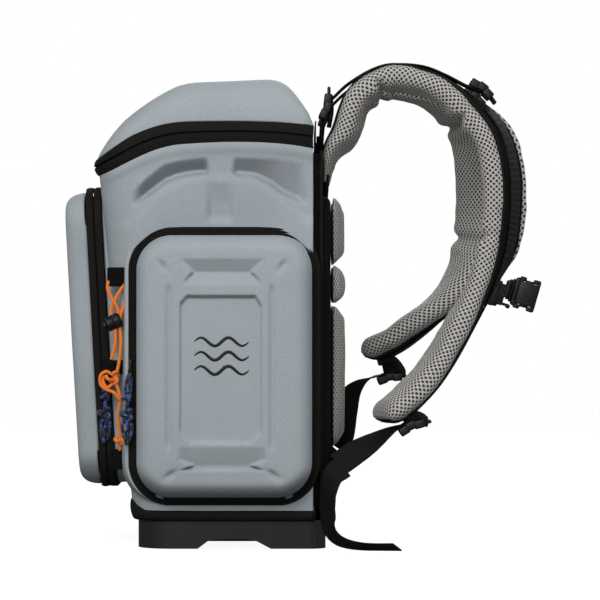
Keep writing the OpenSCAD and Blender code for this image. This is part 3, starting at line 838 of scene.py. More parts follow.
def body_lining():
    """The dark cloth that lines the body's wall and floor."""
    floor_z = 38.0
    wrap = Wrap(-5.4, 5.0)
    grid = wrap.grid(lambda y: np.full_like(y, floor_z), lambda y: np.minimum(along(RIM_LOW, y) - 8, 383.0),
                     np.linspace(0, 1, 60))
    sunk = np.minimum(body_relief(grid[..., 1], grid[..., 2]), 0) * np.abs(wrap.nx)[:, None] ** 1.5
    grid = wrap.push(grid, 0.5 * noise3(grid, 45, 8) - 0.9 + sunk)
    side = sheet("lining_side", grid, LINING, closed_u=True)
    edge = grid[:, 0]
    tau = np.linspace(0, 1, 30)[:, None, None]
    floor = edge[None] * (1 - tau * NEAR_CENTRE) + edge.mean(0) * tau * NEAR_CENTRE
    floor[..., 2] = floor_z + 0.6 * noise3(floor, 60, 5) * smoothstep(0, 0.2, tau[..., 0])
    obj = join("body_lining", [side, sheet("lining_floor", floor, LINING, closed_v=True)])
    place(thicken(obj, 0.8), "pack", "lining_dark", "shell_lining")


def door_land(side):
    """The flat land round a door's zip, standing out of the body's rounded corner."""
    edge, normal = ring(95.5, 138.5, 43.0, 3.0)
    wall = [(30.0, 5.0), (12.0, 2.0), (3.5, 0.4), (1.2, -0.2), (0.35, -0.9), (0.0, -2.0)]   # (depth, growth)
    flat = np.full(len(edge), HALF_W)
    loops = [np.column_stack([flat - depth, edge + normal * grow]) for depth, grow in wall]
    loops += [np.column_stack([flat, edge * shrink]) for shrink in (0.9, 0.6, 0.3, 0.001)]
    grid = np.array(loops) + [0, DOOR_Y - 3.5, DOOR_Z + 1]
    place_side(sheet("land", grid, SHELL, closed_v=True), side, "_door_land", "pack", "shell_grey")


def base_parts():
    """The moulded base, its rivets and the back sheet keep their exact shapes, with softened edges."""
    for node, paint, radius, segments, angle in (
            ("base_tray", BASE, 1.2, 3, 35), ("base_rivets", RIVET, 0.5, 3, 35),
            ("back_frame_sheet", SHEET, 0.6, 2, 40)):
        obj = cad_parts[node]
        for slot in obj.material_slots:
            slot.material = paint
        modifier(obj, "BEVEL", width=radius * MM, segments=segments, limit_method="ANGLE",
                 angle_limit=math.radians(angle))


def bulge(rows, low, high, power=0.5):
    """A rounded band profile: low at both edges and high in the middle."""
    return low + (high - low) * np.clip(np.sin(np.pi * np.asarray(rows)), 0, 1) ** power


def base_binding():
    """The zip-tape binding where the body meets its base."""
    wrap = Wrap(0.0, 3.0)
    rows = np.linspace(0, 1, 15)
    top = [(-112, 49.5), (-98, 49), (-92, 43), (-84, 38.5), (84, 38)]
    grid = wrap.grid(lambda y: np.full_like(y, 27.6), lambda y: along(top, y), rows)
    out = bulge(rows, -0.6, 2.6)[None, :] + 0.15 * noise3(grid, 30, 2)
    uv = uv_grid(lengths(grid[:, 0]), rows * 11)
    obj = sheet("base_binding_tape", wrap.push(grid, out), TAPE, uv, closed_u=True)
    place(thicken(obj, 1.2, -1.0), "pack", "fabric_black", "base_binding")


# ------------------------------------------------------------------ lid


def lid_shell():
    """The domed lid and its lining; its plan has round front corners and tighter rear ones."""
    r_front, r_rear = CORNER_R, 12.0
    front, rear = front_y(392), 84.0
    mid_y, half_y = (front + rear) / 2, (rear - front) / 2
    centre = np.array([0.0, mid_y])
    at_rear, at_front = HALF_W - r_rear, HALF_W - r_front
    edge = outline([(at_rear, rear - r_rear, r_rear, 0, 16), (-at_rear, rear - r_rear, r_rear, 90, 16),
                    (-at_front, front + r_front, r_front, 180, 30),
                    (at_front, front + r_front, r_front, 270, 30)], count=420)[:, :2]
    p = centre + (edge[None] - centre) * (1 - toward_centre(90, 1.9))
    r = np.where(p[..., 1] > mid_y, r_rear, r_front)
    q = np.stack([np.abs(p[..., 0]) - (HALF_W - r), np.abs(p[..., 1] - mid_y) - (half_y - r)], -1)
    inside = r - np.linalg.norm(np.maximum(q, 0), axis=-1) - np.minimum(np.max(q, -1), 0)
    side = crown(np.clip(HALF_W - np.abs(p[..., 0]), 0, None), 36.0, 2.15)
    wall = np.minimum(side, crown(np.clip(inside, 0, None), 30.0, 2.1))
    rim = along(RIM_HIGH, p[..., 1]) - 0.6
    z = rim + (along(CREST, p[..., 1]) - rim) * wall
    z = z + 0.4 * noise3(np.stack([p[..., 0], p[..., 1], z], -1), 150, 6) * wall
    obj = sheet("lid_shell_skin", np.concatenate([p, z[..., None]], -1), SHELL, closed_v=True)
    place(lined(obj, SHELL_T), "lid", "shell_grey", "lid_shell")
    inner, under = centre + (p[::3, ::3] - centre) * 0.958, z[::3, ::3]
    low = under - 6.0 + 0.7 * noise3(np.concatenate([inner, under[..., None]], -1), 60, 9)
    floor = along(RIM_HIGH, inner[..., 1]) + 5.0
    lining = sheet("lid_lining_cloth", np.concatenate([inner, np.maximum(low, floor)[..., None]], -1),
                   LINING, closed_v=True)
    place(thicken(lining, 0.7), "lid", "lining_dark", "lid_lining")


def rim_tape(name, body, node, v0, v1):
    """One half of the lid's zip flap, between two fractions of the gap's height, with its teeth."""
    wrap = Wrap(0.0, 2.6, rear=False)

    def in_gap(rows):
        return wrap.grid(lambda y: along(RIM_LOW, y), lambda y: along(RIM_HIGH, y), rows)

    v = np.linspace(v0, v1, 16)
    grid = in_gap(v)
    edge = np.minimum((v - v0), (v1 - v)) / (v1 - v0) * 2
    puff = bulge(v, 0.5, 3.4, 0.55) * (0.35 + 0.65 * smoothstep(0, 0.22, edge))
    proud = 1 + 0.35 * smoothstep(-100, -128, grid[..., 1])
    uv = uv_grid(lengths(grid[:, 8]), v * 23)
    obj = thicken(sheet(name, wrap.push(grid, puff[None, :] * proud), TAPE, uv), 2.2, -1.0)
    seam_v = v1 - 0.012 if v0 < 0.25 else v0 + 0.012
    seam = wrap.push(in_gap([seam_v]), np.full((wrap.x.size, 1), 0.9))[:, 0]
    place(join(name, [obj, teeth(name + "_coil", seam)]), body, "zip_black", node)


def teeth(name, path):
    """A row of small moulded zip teeth along a path."""
    s = lengths(path)
    where = np.arange(TOOTH_PITCH / 2, s[-1], TOOTH_PITCH)
    pts = resample(path, s, where)
    verts, faces = block((0, 0, 0), TOOTH, 0.35, segments=1)
    parts = []
    for p, d in zip(pts, np.gradient(pts, axis=0)):
        m = Vector((1, 0, 0)).rotation_difference(Vector(d)).to_matrix()
        parts.append(([tuple(m @ Vector(v) + Vector(p)) for v in verts], faces))
    return blocks(name, parts, BUCKLE)


# ------------------------------------------------------------------ front pocket


def from_pocket(grid):
    """Local pocket coordinates [x, y, z] to the frame's."""
    c, s = math.cos(POCKET_LEAN), math.sin(POCKET_LEAN)
    out = np.array(grid, float)
    y, z = out[..., 1].copy(), out[..., 2].copy()
    out[..., 1] = y * c - z * s
    out[..., 2] = y * s + z * c
    return out + POCKET_FOOT


def cover_relief(x, z):
    """Moulded relief of the front cover: a sunk panel with a raised middle, and a groove above and below."""
    p = np.stack([x, z - 150], -1)
    outer = smoothstep(-2, 3, inside_distance(p, 74, 104, 18))
    inner = smoothstep(-2, 3, inside_distance(p, 58, 86, 14))
    sunk = 4.2 * (outer - 0.75 * inner)
    for groove_z in (268, 32):
        sunk = sunk + 2.4 * np.clip(1 - np.abs(z - groove_z) / 5.5, 0, 1) * smoothstep(44, 36, np.abs(x))
    return -sunk


def front_cover():
    """The front pocket's moulded cover."""
    half_x, half_z = POCKET_HALF
    size = (half_x - 0.5, half_z - 0.5, POCKET_R - 0.5)
    p = star(*size, 2.3, 80)
    a = np.clip(inside_distance(p, *size), 0, None)
    height = 23.0 * crown(a, 15.0, 2.3) * (0.93 + 0.07 * smoothstep(0, 60, a))
    height = height + cover_relief(p[..., 0], p[..., 1] + half_z) * smoothstep(8, 18, a)
    grid = np.stack([p[..., 0], -8.2 - height, p[..., 1] + half_z], -1)
    grid[..., 1] += 0.3 * noise3(grid, 90, 12)
    obj = sheet("front_cover_skin", from_pocket(grid), SHELL, closed_v=True)
    place(lined(obj, SHELL_T), "front_door", "shell_grey", "front_cover")


def pocket_loop(edge, normal, grow, y):
    """The pocket's outline grown by some mm, as a loop at a local y."""
    p = edge + normal * grow
    return np.column_stack([p[:, 0], np.full(len(edge), y), p[:, 1] + POCKET_HALF[1]])


def pocket_tub():
    """The pocket's side wall, which ends just inside the body's leaning front."""
    half_x, half_z = POCKET_HALF
    edge, normal = ring(half_x - 1, half_z - 1, POCKET_R - 1, 3.0)
    wall = ((8.2, -2.0), (8.4, -0.8), (9.4, 0.0), (12, 0.3), (20, 0.6), (32, 0.8), (46, 0.8), (60, 0.6))
    world = from_pocket([pocket_loop(edge, normal, grow, depth) for depth, grow in wall])
    corner = np.clip(np.abs(world[..., 0]) - (HALF_W - CORNER_R), 0, CORNER_R)
    limit = front_y(world[..., 2]) + CORNER_R - np.sqrt(CORNER_R ** 2 - corner ** 2) + 4.3
    world[..., 1] = np.minimum(world[..., 1], limit)
    obj = sheet("front_pocket_wall", world, SHELL, closed_v=True)
    place(lined(obj, 3.5), "pack", "shell_grey", "front_pocket_tub")


def pocket_tape(name, body, node, y0, y1):
    """Half of the pocket's zip band with its teeth; the other half meets it at local y 0."""
    edge, normal = without_foot(*ring(*POCKET_HALF, POCKET_R, 2.6), 85)
    v = np.linspace(0, 1, 12)
    out = 0.2 + 4.4 * np.clip(np.sin(np.pi * (0.08 + 0.84 * v)), 0, 1) ** 0.2
    grid = np.stack([pocket_loop(edge, normal, g, y0 + (y1 - y0) * t) for t, g in zip(v, out)], 1)
    obj = thicken(sheet(name, from_pocket(grid), TAPE, uv_grid(lengths(edge), v * 8)), 1.8, -1.0)
    seam = pocket_loop(edge, normal, 2.2, y0 + 0.75 if abs(y0) < 1 else y1 - 0.75)
    place(join(name, [obj, teeth(name + "_coil", from_pocket(seam))]), body, "zip_black", node)


# ------------------------------------------------------------------ side doors


def to_side(y_z, x):
    """Door-plane points and heights above the body's side to the frame's axes, right side."""
    return np.stack([HALF_W + x, y_z[..., 0] + DOOR_Y, y_z[..., 1] + DOOR_Z], -1)


def side_door(side):
    """A side door's moulded shell."""
    proud = DOOR_HIGH[0] - HALF_W
    p = star(*DOOR_HALF, DOOR_R, 2.0, 100, 1.5)
    a = np.clip(inside_distance(p, *DOOR_HALF, DOOR_R), 0, None)
    height = 0.5 + (proud - 0.5) * (0.965 * crown(a, 19.0, 2.5) + 0.035 * smoothstep(5, 45, a))
    relief = door_relief(p[..., 0] + DOOR_Y, p[..., 1] + DOOR_Z)
    grid = to_side(p, height + relief * smoothstep(7, 15, a))
    grid[..., 0] += 0.2 * noise3(grid, 80, 4)
    name = side + "_door_skin"
    obj = lined(sheet(name, grid, SHELL, closed_v=True), SHELL_T)
    if side == "left":
        obj = flip_x(obj, name)
    place(obj, side + "_door", "shell_grey", side + "_door_shell")


def door_ring(side, body, nodes, near, far, high, gap):
    """A half-round zip band following the door's edge between two outsets, open over its hinge's gap."""
    name = side + ("_body_zip_band" if body == "pack" else "_door_zip_band")
    sign = 1 if side == "right" else -1
    edge, normal = without_foot(*ring(*DOOR_HALF, DOOR_R, 2.6), gap)
    v = np.linspace(0, 1, 14)
    out = near + (far - near) * v
    lift = 0.3 + (high - 0.3) * np.clip(np.sin(np.pi * (0.04 + 0.92 * v)), 0, 1) ** 0.45
    grid = np.stack([to_side(edge + normal * o, np.full(len(edge), h)) for o, h in zip(out, lift)], 1)
    obj = sheet(name, grid * [sign, 1, 1], TAPE, uv_grid(lengths(edge), v * (far - near)))
    if body == "pack":
        coil = to_side(edge + normal * (near - 0.1), np.full(len(edge), 1.9)) * [sign, 1, 1]
        obj = join(name, [obj, tube("coil", coil, 1.3, TAPE, 8, 3)])
    place(obj, body, "zip_black", *nodes)


def door_zips(side):
    """Both halves of a side door's zip; the right one stands for both body tapes."""
    body_tapes = ("side_zip_body_tapes",) if side == "right" else ()
    door_ring(side, side + "_door", (side + "_zip_door_tape",), -0.6, 3.9, 3.3, 65)
    door_ring(side, "pack", body_tapes, 4.1, 8.2, 3.0, 54)


# ------------------------------------------------------------------ back panel and cushions


def back_panel():
    """The padded back panel: a low step all round and a fuller middle, with piping along its edge."""
    half_x, half_z, r, mid_z = 136, 177.5, 28, 217.5
    edge, _ = ring(half_x, half_z, r, 3.2)
    p = edge[None] * (1 - toward_centre(70, 1.6)) + [0, mid_z]
    step = np.clip(inside_distance(p - [0, mid_z], half_x, half_z, r), 0, None)
    middle = np.clip(inside_distance(p - [0, 197], 131, 155, r), 0, None)
    y = 83.4 + (6.6 * crown(step, 6, 2.4) + 10.8 * crown(middle, 9, 2.3))
    grid = np.stack([p[..., 0], y, p[..., 1]], -1)
    grid[..., 1] += 0.5 * noise3(grid, 55, 21) * smoothstep(2, 12, step)
    rim = np.stack([edge[:, 0], np.full(len(edge), 83.2), edge[:, 1] + mid_z], -1)
    obj = sheet("back_panel_pad", np.concatenate([rim[None], grid]), BACK_CLOTH, closed_v=True)
    place(obj, "pack", "fabric_black", "back_panel")
    loop = np.stack([edge[:, 0] * 0.985, np.full(len(edge), 91.0), edge[:, 1] + mid_z], -1)[::6]
    piping = tube("back_panel_piping", np.vstack([loop, loop[:1]]), 2.0, TAPE, 10, 4)
    place(piping, "pack", "fabric_black")


def squircle(nx, nz, half_x, half_z, r):
    """A rectangular grid whose corners are rounded to radius r, as [x, z]."""
    x, z = np.meshgrid(np.linspace(-half_x, half_x, nx), np.linspace(-half_z, half_z, nz), indexing="ij")
    p = np.clip((np.abs(x) - (half_x - r)) / r, 0, 1)
    q = np.clip((np.abs(z) - (half_z - r)) / r, 0, 1)
    px, qz = p * np.sqrt(1 - q * q / 2), q * np.sqrt(1 - p * p / 2)
    x = np.where(p > 0, np.sign(x) * (half_x - r + px * r), x)
    z = np.where(q > 0, np.sign(z) * (half_z - r + qz * r), z)
    return np.stack([x, z], -1)


def closed_pad(name, half_x, half_z, r, thick, cell, material):
    """A flat closed pad in the x-z plane with a sewn edge, ready to be inflated."""
    nx, nz = int(2 * half_x / cell) + 1, int(2 * half_z / cell) + 1
    flat = squircle(nx, nz, half_x, half_z, r)
    puff = thick / 2 * crown(np.clip(inside_distance(flat, half_x, half_z, r), 0, None), 12, 2.2)
    verts = np.concatenate([np.stack([flat[..., 0], face * puff, flat[..., 1]], -1).reshape(-1, 3)
                            for face in (1, -1)])
    faces = grid_faces(nx, nz)
    faces += [tuple(i + nx * nz for i in f) for f in grid_faces(nx, nz, flip=True)]
    obj = mesh_object(name, verts, faces, material, np.concatenate([flat.reshape(-1, 2)] * 2))
    bm = bmesh.new()
    bm.from_mesh(obj.data)
    bmesh.ops.remove_doubles(bm, verts=bm.verts, dist=0.02 * MM)
    bmesh.ops.recalc_face_normals(bm, faces=bm.faces)
    bm.to_mesh(obj.data)
    bm.free()
    return obj


def coords(obj):
    return np.array([v.co for v in obj.data.vertices])


def inflate(obj, frames_run, pressure, cap_mm):
    """Cloth simulation with air pressure; no point may move more than cap_mm."""
    rest = coords(obj)
    cloth = modifier(obj, "CLOTH").settings
    for key, value in (("quality", 4), ("mass", 0.3), ("tension_stiffness", 12),
                       ("compression_stiffness", 8), ("bending_stiffness", 0.4), ("use_pressure", True),
                       ("uniform_pressure_force", pressure)):
        setattr(cloth, key, value)
    cloth.effector_weights.gravity = 0
    scene = bpy.context.scene
    for f in range(1, frames_run + 1):
        scene.frame_set(f)
    apply_modifiers(obj)
    scene.frame_set(1)
    moved = coords(obj) - rest
    far = np.linalg.norm(moved, axis=1, keepdims=True)
    moved *= np.minimum(1, cap_mm * MM / np.maximum(far, 1e-9))
    obj.data.vertices.foreach_set("co", (rest + moved).ravel())
    obj.data.update()


def back_cushion(node):
    """One mesh-covered cushion of the back, swollen by simulation and flat against the panel."""
    low, high = box_mm(node)
    cx, cz = (low[0] + high[0]) / 2, (low[2] + high[2]) / 2
    half_x, half_z = (high[0] - low[0]) / 2 - 1, (high[2] - low[2]) / 2 + 1.6
    depth = high[1] - low[1]
    obj = closed_pad(node.replace("back_pad", "cushion"), half_x, half_z, 17, depth * 0.8, 5.0, MESH)
    inflate(obj, 18, 3.0, 7.0)
    co = coords(obj) / MM
    co[:, 0] = np.clip(co[:, 0], -half_x - 1.5, half_x + 1.5)
    co[:, 2] = np.clip(co[:, 2], -half_z - 1.2, half_z + 1.2)
    x, swell, z = co.T
    full = max(np.percentile(swell, 98), depth * 0.4)
    y = swell / full * np.where(swell > 0, depth - 1.5, 1.0)
    # sewn lines that divide the cushion across its width
    seam = sum(np.exp(-((x - seam_x) / 4.0) ** 2) for seam_x in (-38, 38))
    y = y - np.where(swell > 0, 3.2 * seam * np.clip(y / depth, 0, 1), 0)
    y = y + np.where(swell > 1, 0.6 * noise3(co, 60, 31), 0)
    co = np.stack([x + cx, np.maximum(y + 2.0, 0) + low[1], z + cz], -1)
    obj.data.vertices.foreach_set("co", (co * MM).ravel())
    # the mesh's pattern runs on down the sides instead of stretching over them
    drop = np.clip(low[1] + depth - co[:, 1], 0, None)
    by_x = smoothstep(half_x - 22, half_x - 4, np.abs(x))
    by_z = smoothstep(half_z - 22, half_z - 4, np.abs(z)) * (1 - by_x)
    flat = np.stack([x + np.sign(x) * drop * by_x, z + np.sign(z) * drop * by_z], -1)
    index = np.zeros(len(obj.data.loops), np.int32)
    obj.data.loops.foreach_get("vertex_index", index)
    obj.data.uv_layers[0].data.foreach_set("uv", flat[index].astype(np.float32).ravel())
    modifier(obj, "SUBSURF", levels=2, render_levels=2)
    place(apply_modifiers(obj), "pack", "mesh_grey", node)


# ------------------------------------------------------------------ shoulder straps

STRAP_W, STRAP_T = 66.0, 24.0
STRAP_TOP = [
    [95, 104, 366, 3], [95, 106, 383, 6], [96, 112, 409, 8], [97, 121, 435, 7],
    [98, 134, 456, 5], [99, 157, 470, 4], [100, 186, 469, 3],
]
RIGHT_LOW = [
    [101, 213, 456, -4], [102, 236, 434, -14], [103, 253, 408, -22], [104, 260, 377, -25],
    [105, 261, 342, -25], [107, 258, 307, -22], [110, 253, 280, -12], [113, 246, 254, -3],
    [118, 233, 223, 4], [124, 219, 195, 7], [131, 203, 170, 8], [138, 186, 151, 8],
    [143, 170, 137, 8], [146, 160, 130, 8],
]
LEFT_LOW = [
    [101, 210, 456, -5], [102, 228, 438, -15], [103, 237, 415, -32], [104, 240, 380, -44],
    [105, 240, 344, -42], [107, 240, 314, -34], [110, 237, 285, -18], [115, 226, 255, -4],
    [121, 206, 228, 6], [127, 182, 207, 8], [132, 162, 195, 8], [135, 149, 189, 8],
]
PAD_SECTION = section(STRAP_W, STRAP_T, 3.2, 2.5, 84)
FOLDS = [(148, 468, 4.6), (236, 434, 5.2), (240, 314, 4.8)]     # [y, z, depth] of creases inside


def settle(rows):
    """How the filling lies: the pad rises over the shoulder and leans on the panel at its root."""
    y, z = rows[:, 1], rows[:, 2]
    up = (4.2 * np.exp(-((y - 160) / 34) ** 2) + 2.0 * np.exp(-((y - 212) / 18) ** 2)) * (z > 420)
    root = y < 150
    out = (5.5 * np.exp(-((z - 398) / 19) ** 2) + 3.5 * np.exp(-((z - 447) / 20) ** 2)) * root
    return np.stack([0 * y, -out, up, 0 * y], 1)


def strap_grid(rows):
    """The pad's surface, with its sections, lengths and directions: full round edges, a fuller inner
    face and creases where it bends."""
    rows = rows + settle(rows)
    centre, w, n = frames(rows)
    s = lengths(centre)
    prof = np.broadcast_to(PAD_SECTION, (len(s),) + PAD_SECTION.shape).copy()
    tip = np.sqrt(np.clip(1 - (1 - np.clip(s[-1] - s, 0, 15) / 15) ** 2, 0.02, 1))
    root = (0.16 + 0.84 * smoothstep(0, 62, s))[:, None]
    inner = prof[..., 1] < 0
    prof[..., 1] *= np.where(inner, 1.14, 1.0) * tip[:, None] * root
    prof[..., 1] += 0.42 * STRAP_T * (1 - root)
    prof[..., 0] *= (0.72 + 0.28 * tip)[:, None]
    turned = smoothstep(10, 24, np.abs(rows[:, 3]))[:, None]
    prof[..., 1] += np.where(inner, 0, 7.0 * turned * np.exp(-((prof[..., 0] + 27.5) / 5.0) ** 2))
    for y, z, depth in FOLDS:
        near = np.hypot(centre[:, 1] - y, centre[:, 2] - z)
        k = s[int(np.argmin(near))]
        dent = depth * np.exp(-((s - k) / 4.5) ** 2) - 0.35 * depth * np.exp(-((np.abs(s - k) - 11) / 6) ** 2)
        prof[..., 1] += np.where(inner, dent[:, None] * np.clip(-prof[..., 1] / 5, 0, 1), 0)
        prof[..., 0] *= 1 - 0.05 * np.exp(-((s - k) / 5.0) ** 2)[:, None]
    grid = centre[:, None] + (prof[..., :1] - STRAP_W / 2) * w[:, None] + prof[..., 1:] * n[:, None]
    lump = noise3(grid, 42, 14) * 0.9 + noise3(grid, 18, 15) * 0.35
    away = np.sign(prof[..., 1:])
    reach = np.clip(np.abs(prof[..., 1:]) / 5, 0, 1)
    grid = grid + (n[:, None] * away * reach) * lump[..., None]
    return grid, prof, s, centre, w, n


def strap(side, low_run):
    """One shoulder strap: mesh pad, outer cloth with piping, and ribbed webbing."""
    rows = catmull(STRAP_TOP + low_run, 2.6)
    grid, prof, s, centre, w, n = strap_grid(rows)
    pad = sheet("pad", grid, MESH, uv_grid(s, lengths(PAD_SECTION)), capped=True)
    # the outer cloth covers the middle of the pad's outer face
    across = np.linspace(23.5, -20.5, 21)
    top = []
    for i in range(len(s)):
        upper = prof[i][prof[i][:, 1] > 0]
        order = np.argsort(upper[:, 0])
        top.append(np.interp(across, upper[order, 0], upper[order, 1]))
    top = np.array(top) + 0.7
    skin = centre[:, None] + (across[None, :, None] - STRAP_W / 2) * w[:, None] + top[..., None] * n[:, None]
    skin = skin + n[:, None] * (0.5 * noise3(skin, 30, 16))[..., None]
    cloth = thicken(sheet("cloth", skin, BACK_CLOTH, uv_grid(s, across)), 1.4)
    piping = join("piping", [tube("edge", skin[::3, k], 1.5, TAPE, 8, 3) for k in (0, -1)])
    run = rows[int(len(s) * 0.4):-10]
    web = ribbon("webbing", run, 25, 1.9, RIBBED, STRAP_T / 2 + 2.4, -STRAP_W / 2, step=None)
    for obj, part, slot, nodes in (
            (pad, "mesh", "mesh_grey", (side + "_strap_pad",)), (cloth, "cloth", "fabric_black", ()),
            (piping, "piping", "fabric_black", ()),
            (web, "webbing", "webbing_black", (side + "_strap_webbing",))):
        place_side(obj, side, "_pad_" + part, side + "_strap", slot, *nodes)


def moved(part, shift):
    """A (verts, faces) part moved by a vector."""
    return [tuple(Vector(v) + Vector(shift)) for v in part[0]], part[1]


def ladder_lock(name, matrix):
    """A ladder lock in its own x-y plane, webbing along y, with a ridged release lip."""
    parts = [block((sx * 14.4, y, lift), (3.6, 10.5, 8.4), 2.0, Matrix.Rotation(math.radians(turn), 3, "X"))
             for sx in (-1, 1) for y, lift, turn in ((-8.2, 0.0, 8), (0, 0.8, 0), (8.2, 0.0, -8))]
    for y, wide, thick in ((-11.3, 3.4, 3.6), (-4.3, 3.0, 3.0), (2.3, 3.0, 3.0), (9.8, 4.6, 3.8)):
        parts.append(block((0, y, 0), (28, wide, thick), 1.1))
    lip = Matrix.Rotation(math.radians(-16), 3, "X")
    root = Vector((0, 10, -2.2))
    parts.append(moved(block((0, 0, 0), (24, 12, 3.2), 1.3, lip), root + lip @ Vector((0, 4.5, 1.3))))
    for k in range(3):
        parts.append(block(root + lip @ Vector((0, 3.0 + 2.2 * k, 2.7)), (21, 0.9, 0.8), 0.35))
    return blocks(name, parts, BUCKLE, matrix)


LIFTER_X = 62.0
LIFTER_PATH = [
    [62, 99, 449, 0], [62, 104, 453, 0], [62, 120, 467.5, 0], [62, 146, 482.4, 0], [63, 170, 486.4, 0],
    [64, 196, 484, 0], [65, 218, 475.4, 0], [66, 239, 464.5, 0], [67, 256, 457.5, 0],
]


def lifters(side):
    """The load lifter over a pad: its strap, its lock on the pad, and the anchor on the back panel."""
    x = LIFTER_X
    m, anchors = (1, ("lifter_anchors",)) if side == "right" else (-1, ())
    lock = ladder_lock("lifter_lock", at(x + 5, 254.8, 462, -38))
    anchor = ladder_lock("anchor_lock", at(x, 97.5, 443, 74) @ Matrix.Scale(-1, 4, (0, 0, 1)))
    outward(anchor)
    tab = join("tab", [
        ribbon("tab", [[x, 91.6, 392, 0], [x, 91.6, 416, 0], [x, 92.4, 430, 0], [x, 94, 440, 0]],
               26, 3.2, WEBBING),
        ribbon("patch", [[x, 88.2, 388, 0], [x, 88.2, 400, 0], [x, 88.2, 413, 0]], 34, 3.0, BACK_CLOTH),
        ribbon("fold", [[x, 100.6, 430, 0], [x, 102, 440, 0], [x, 101, 453, 0]], 25, 5.0, WEBBING)])
    place_side(lock, side, "_lifter_lock", side + "_strap", "buckle_black")
    place_side(anchor, side, "_anchor_lock", "pack", "buckle_black", *anchors)
    place_side(tab, side, "_anchor_tab", "pack", "webbing_black")
    name = side + "_lifter_strap"
    web = ribbon(name, LIFTER_PATH, 22, 2.8, WEBBING)
    if m < 0:
        web = flip_x(web, name)
    web.name = name
    span(web, ("pack", side + "_strap"), (m * 62, 104, 454), (m * 66, 232, 466), "webbing_black",
         side + "_lifter_webbing")


def haul_loop():
    """The webbing loop between the lifters; its width stays level as it turns."""
    path = [[-20, 92.6, 404], [-21, 94, 424], [-19, 97, 440], [-12, 99, 447], [0, 99.6, 449],
            [12, 99, 447], [19, 97, 440], [21, 94, 424], [20, 92.6, 404]]
    rows = catmull(path, 2.0)
    t = unit(np.gradient(rows, axis=0))
    facing = np.array([0, 1.0, -0.15])
    up = unit(facing - t * (t @ facing)[:, None])
    obj = carry("haul_handle", rows, np.cross(t, up), up, section(13, 3.2, 6, 2.2, 21), WEBBING)
    place(obj, "haul", "webbing_black", "haul_loop")


def strap_roots():
    """Fabric roots that hold the pads' upper ends to the back panel."""
    path = [[62, 95.2, 350, 0], [62, 96, 362, 0], [62, 97.2, 374, 3]]
    right = ribbon("root", path, 60, 6.5, BACK_CLOTH)
    place_both("strap_roots", right, "strap_anchor_tabs")


# per side: the lock's place [x, y, z, turn], the webbing's and the loose tail's stations
# [x, y, z, twist] on the right, and how far the lock hangs below its pad
LOWER = {
    "right": ((118.0, 181.0, 121.0, 24.0),
              [[118, 190, 129.7, 0], [118, 174, 122.3, 0], [118, 158, 114.9, 20], [123, 143, 106, 44],
               [132, 129, 97.5, 68], [140, 116, 89, 80], [144.5, 107, 83, 86]],
              [[147.6, 113, 82, 88], [149.6, 102, 72, 62], [151.6, 97.5, 52, 40], [153.5, 97.5, 35, 40],
               [162, 101, 20, 38], [180, 112, 11, 30], [206, 133, 7.5, 22], [222, 164, 8, 22]], 12),
    "left": ((108.0, 166.0, 164.0, 12.0),
             [[108, 178, 170.9, 0], [108, 162, 167.3, 0], [108, 147, 163.9, 0], [112, 134, 158, 24],
              [119, 125, 147, 54], [127, 120, 126, 76], [134, 116, 100, 85], [139, 109, 88, 87]],
             [[147.6, 110, 84, 88], [149.6, 101, 72, 90], [150.6, 98, 52, 90], [151.5, 97, 30, 90],
              [152, 96, 16, 90]], 20),
}


def lower_straps(side):
    """A pad's lower lock on its sewn tab, the webbing to the wing, and the webbing's loose tail."""
    lock_at, run, tail_run, drop = LOWER[side]
    x, y, z, _ = lock_at
    tab = ribbon("tab", [[x - 5, y - 10, z + drop - 3, 0], [x - 2, y + 3, z + drop - 1, 0],
                         [x, y + 13, z + 7, 0], [x, y + 12, z + 1, 0]], 27, 9.0, WEBBING)
    keeper = blocks("keeper", [block((0, 3.5, drop / 2), (28, 17, drop - 3), 3.4),
                               block((0, -4.5, 3.6), (27, 9, 4.0), 1.8)], BACK_CLOTH, at(*lock_at))
    for obj, part, body, slot, nodes in (
            (ladder_lock("lock", at(*lock_at)), "_lower_lock_body", side + "_strap", "buckle_black",
             (side + "_lower_lock",)),
            (join("tab", [tab, keeper]), "_lock_tab", side + "_strap", "webbing_black", ()),
            (ribbon("web", run, 25, 1.7, WEBBING), "_lower_strap", side + "_webbing", "webbing_black",
             (side + "_lower_webbing",)),
            (ribbon("tail", tail_run, 24, 1.7, WEBBING), "_loose_tail", "pack", "webbing_black",
             (side + "_webbing_tail",))):
        place_side(obj, side, part, body, slot, *nodes)


def lower_wings():
    """Triangular fabric wings that anchor the lower straps at the panel's foot."""
    u, v = np.meshgrid(np.linspace(0, 1, 14), np.linspace(0, 1, 16), indexing="ij")
    top, foot = 97 - 13 * u, 60 + 10 * u
    x, z = 96 + 50 * u, foot + (top - foot) * v
    y = 103 + 1.2 * np.sin(np.pi * u) + 0.4 * noise3(np.stack([x, 0 * x, z], -1), 20, 40)
    right = thicken(sheet("wing", np.stack([x, y, z], -1), BACK_CLOTH), 3.0)
    place_both("lower_wings", right, "lower_anchor_tabs")


# ------------------------------------------------------------------ sternum strap


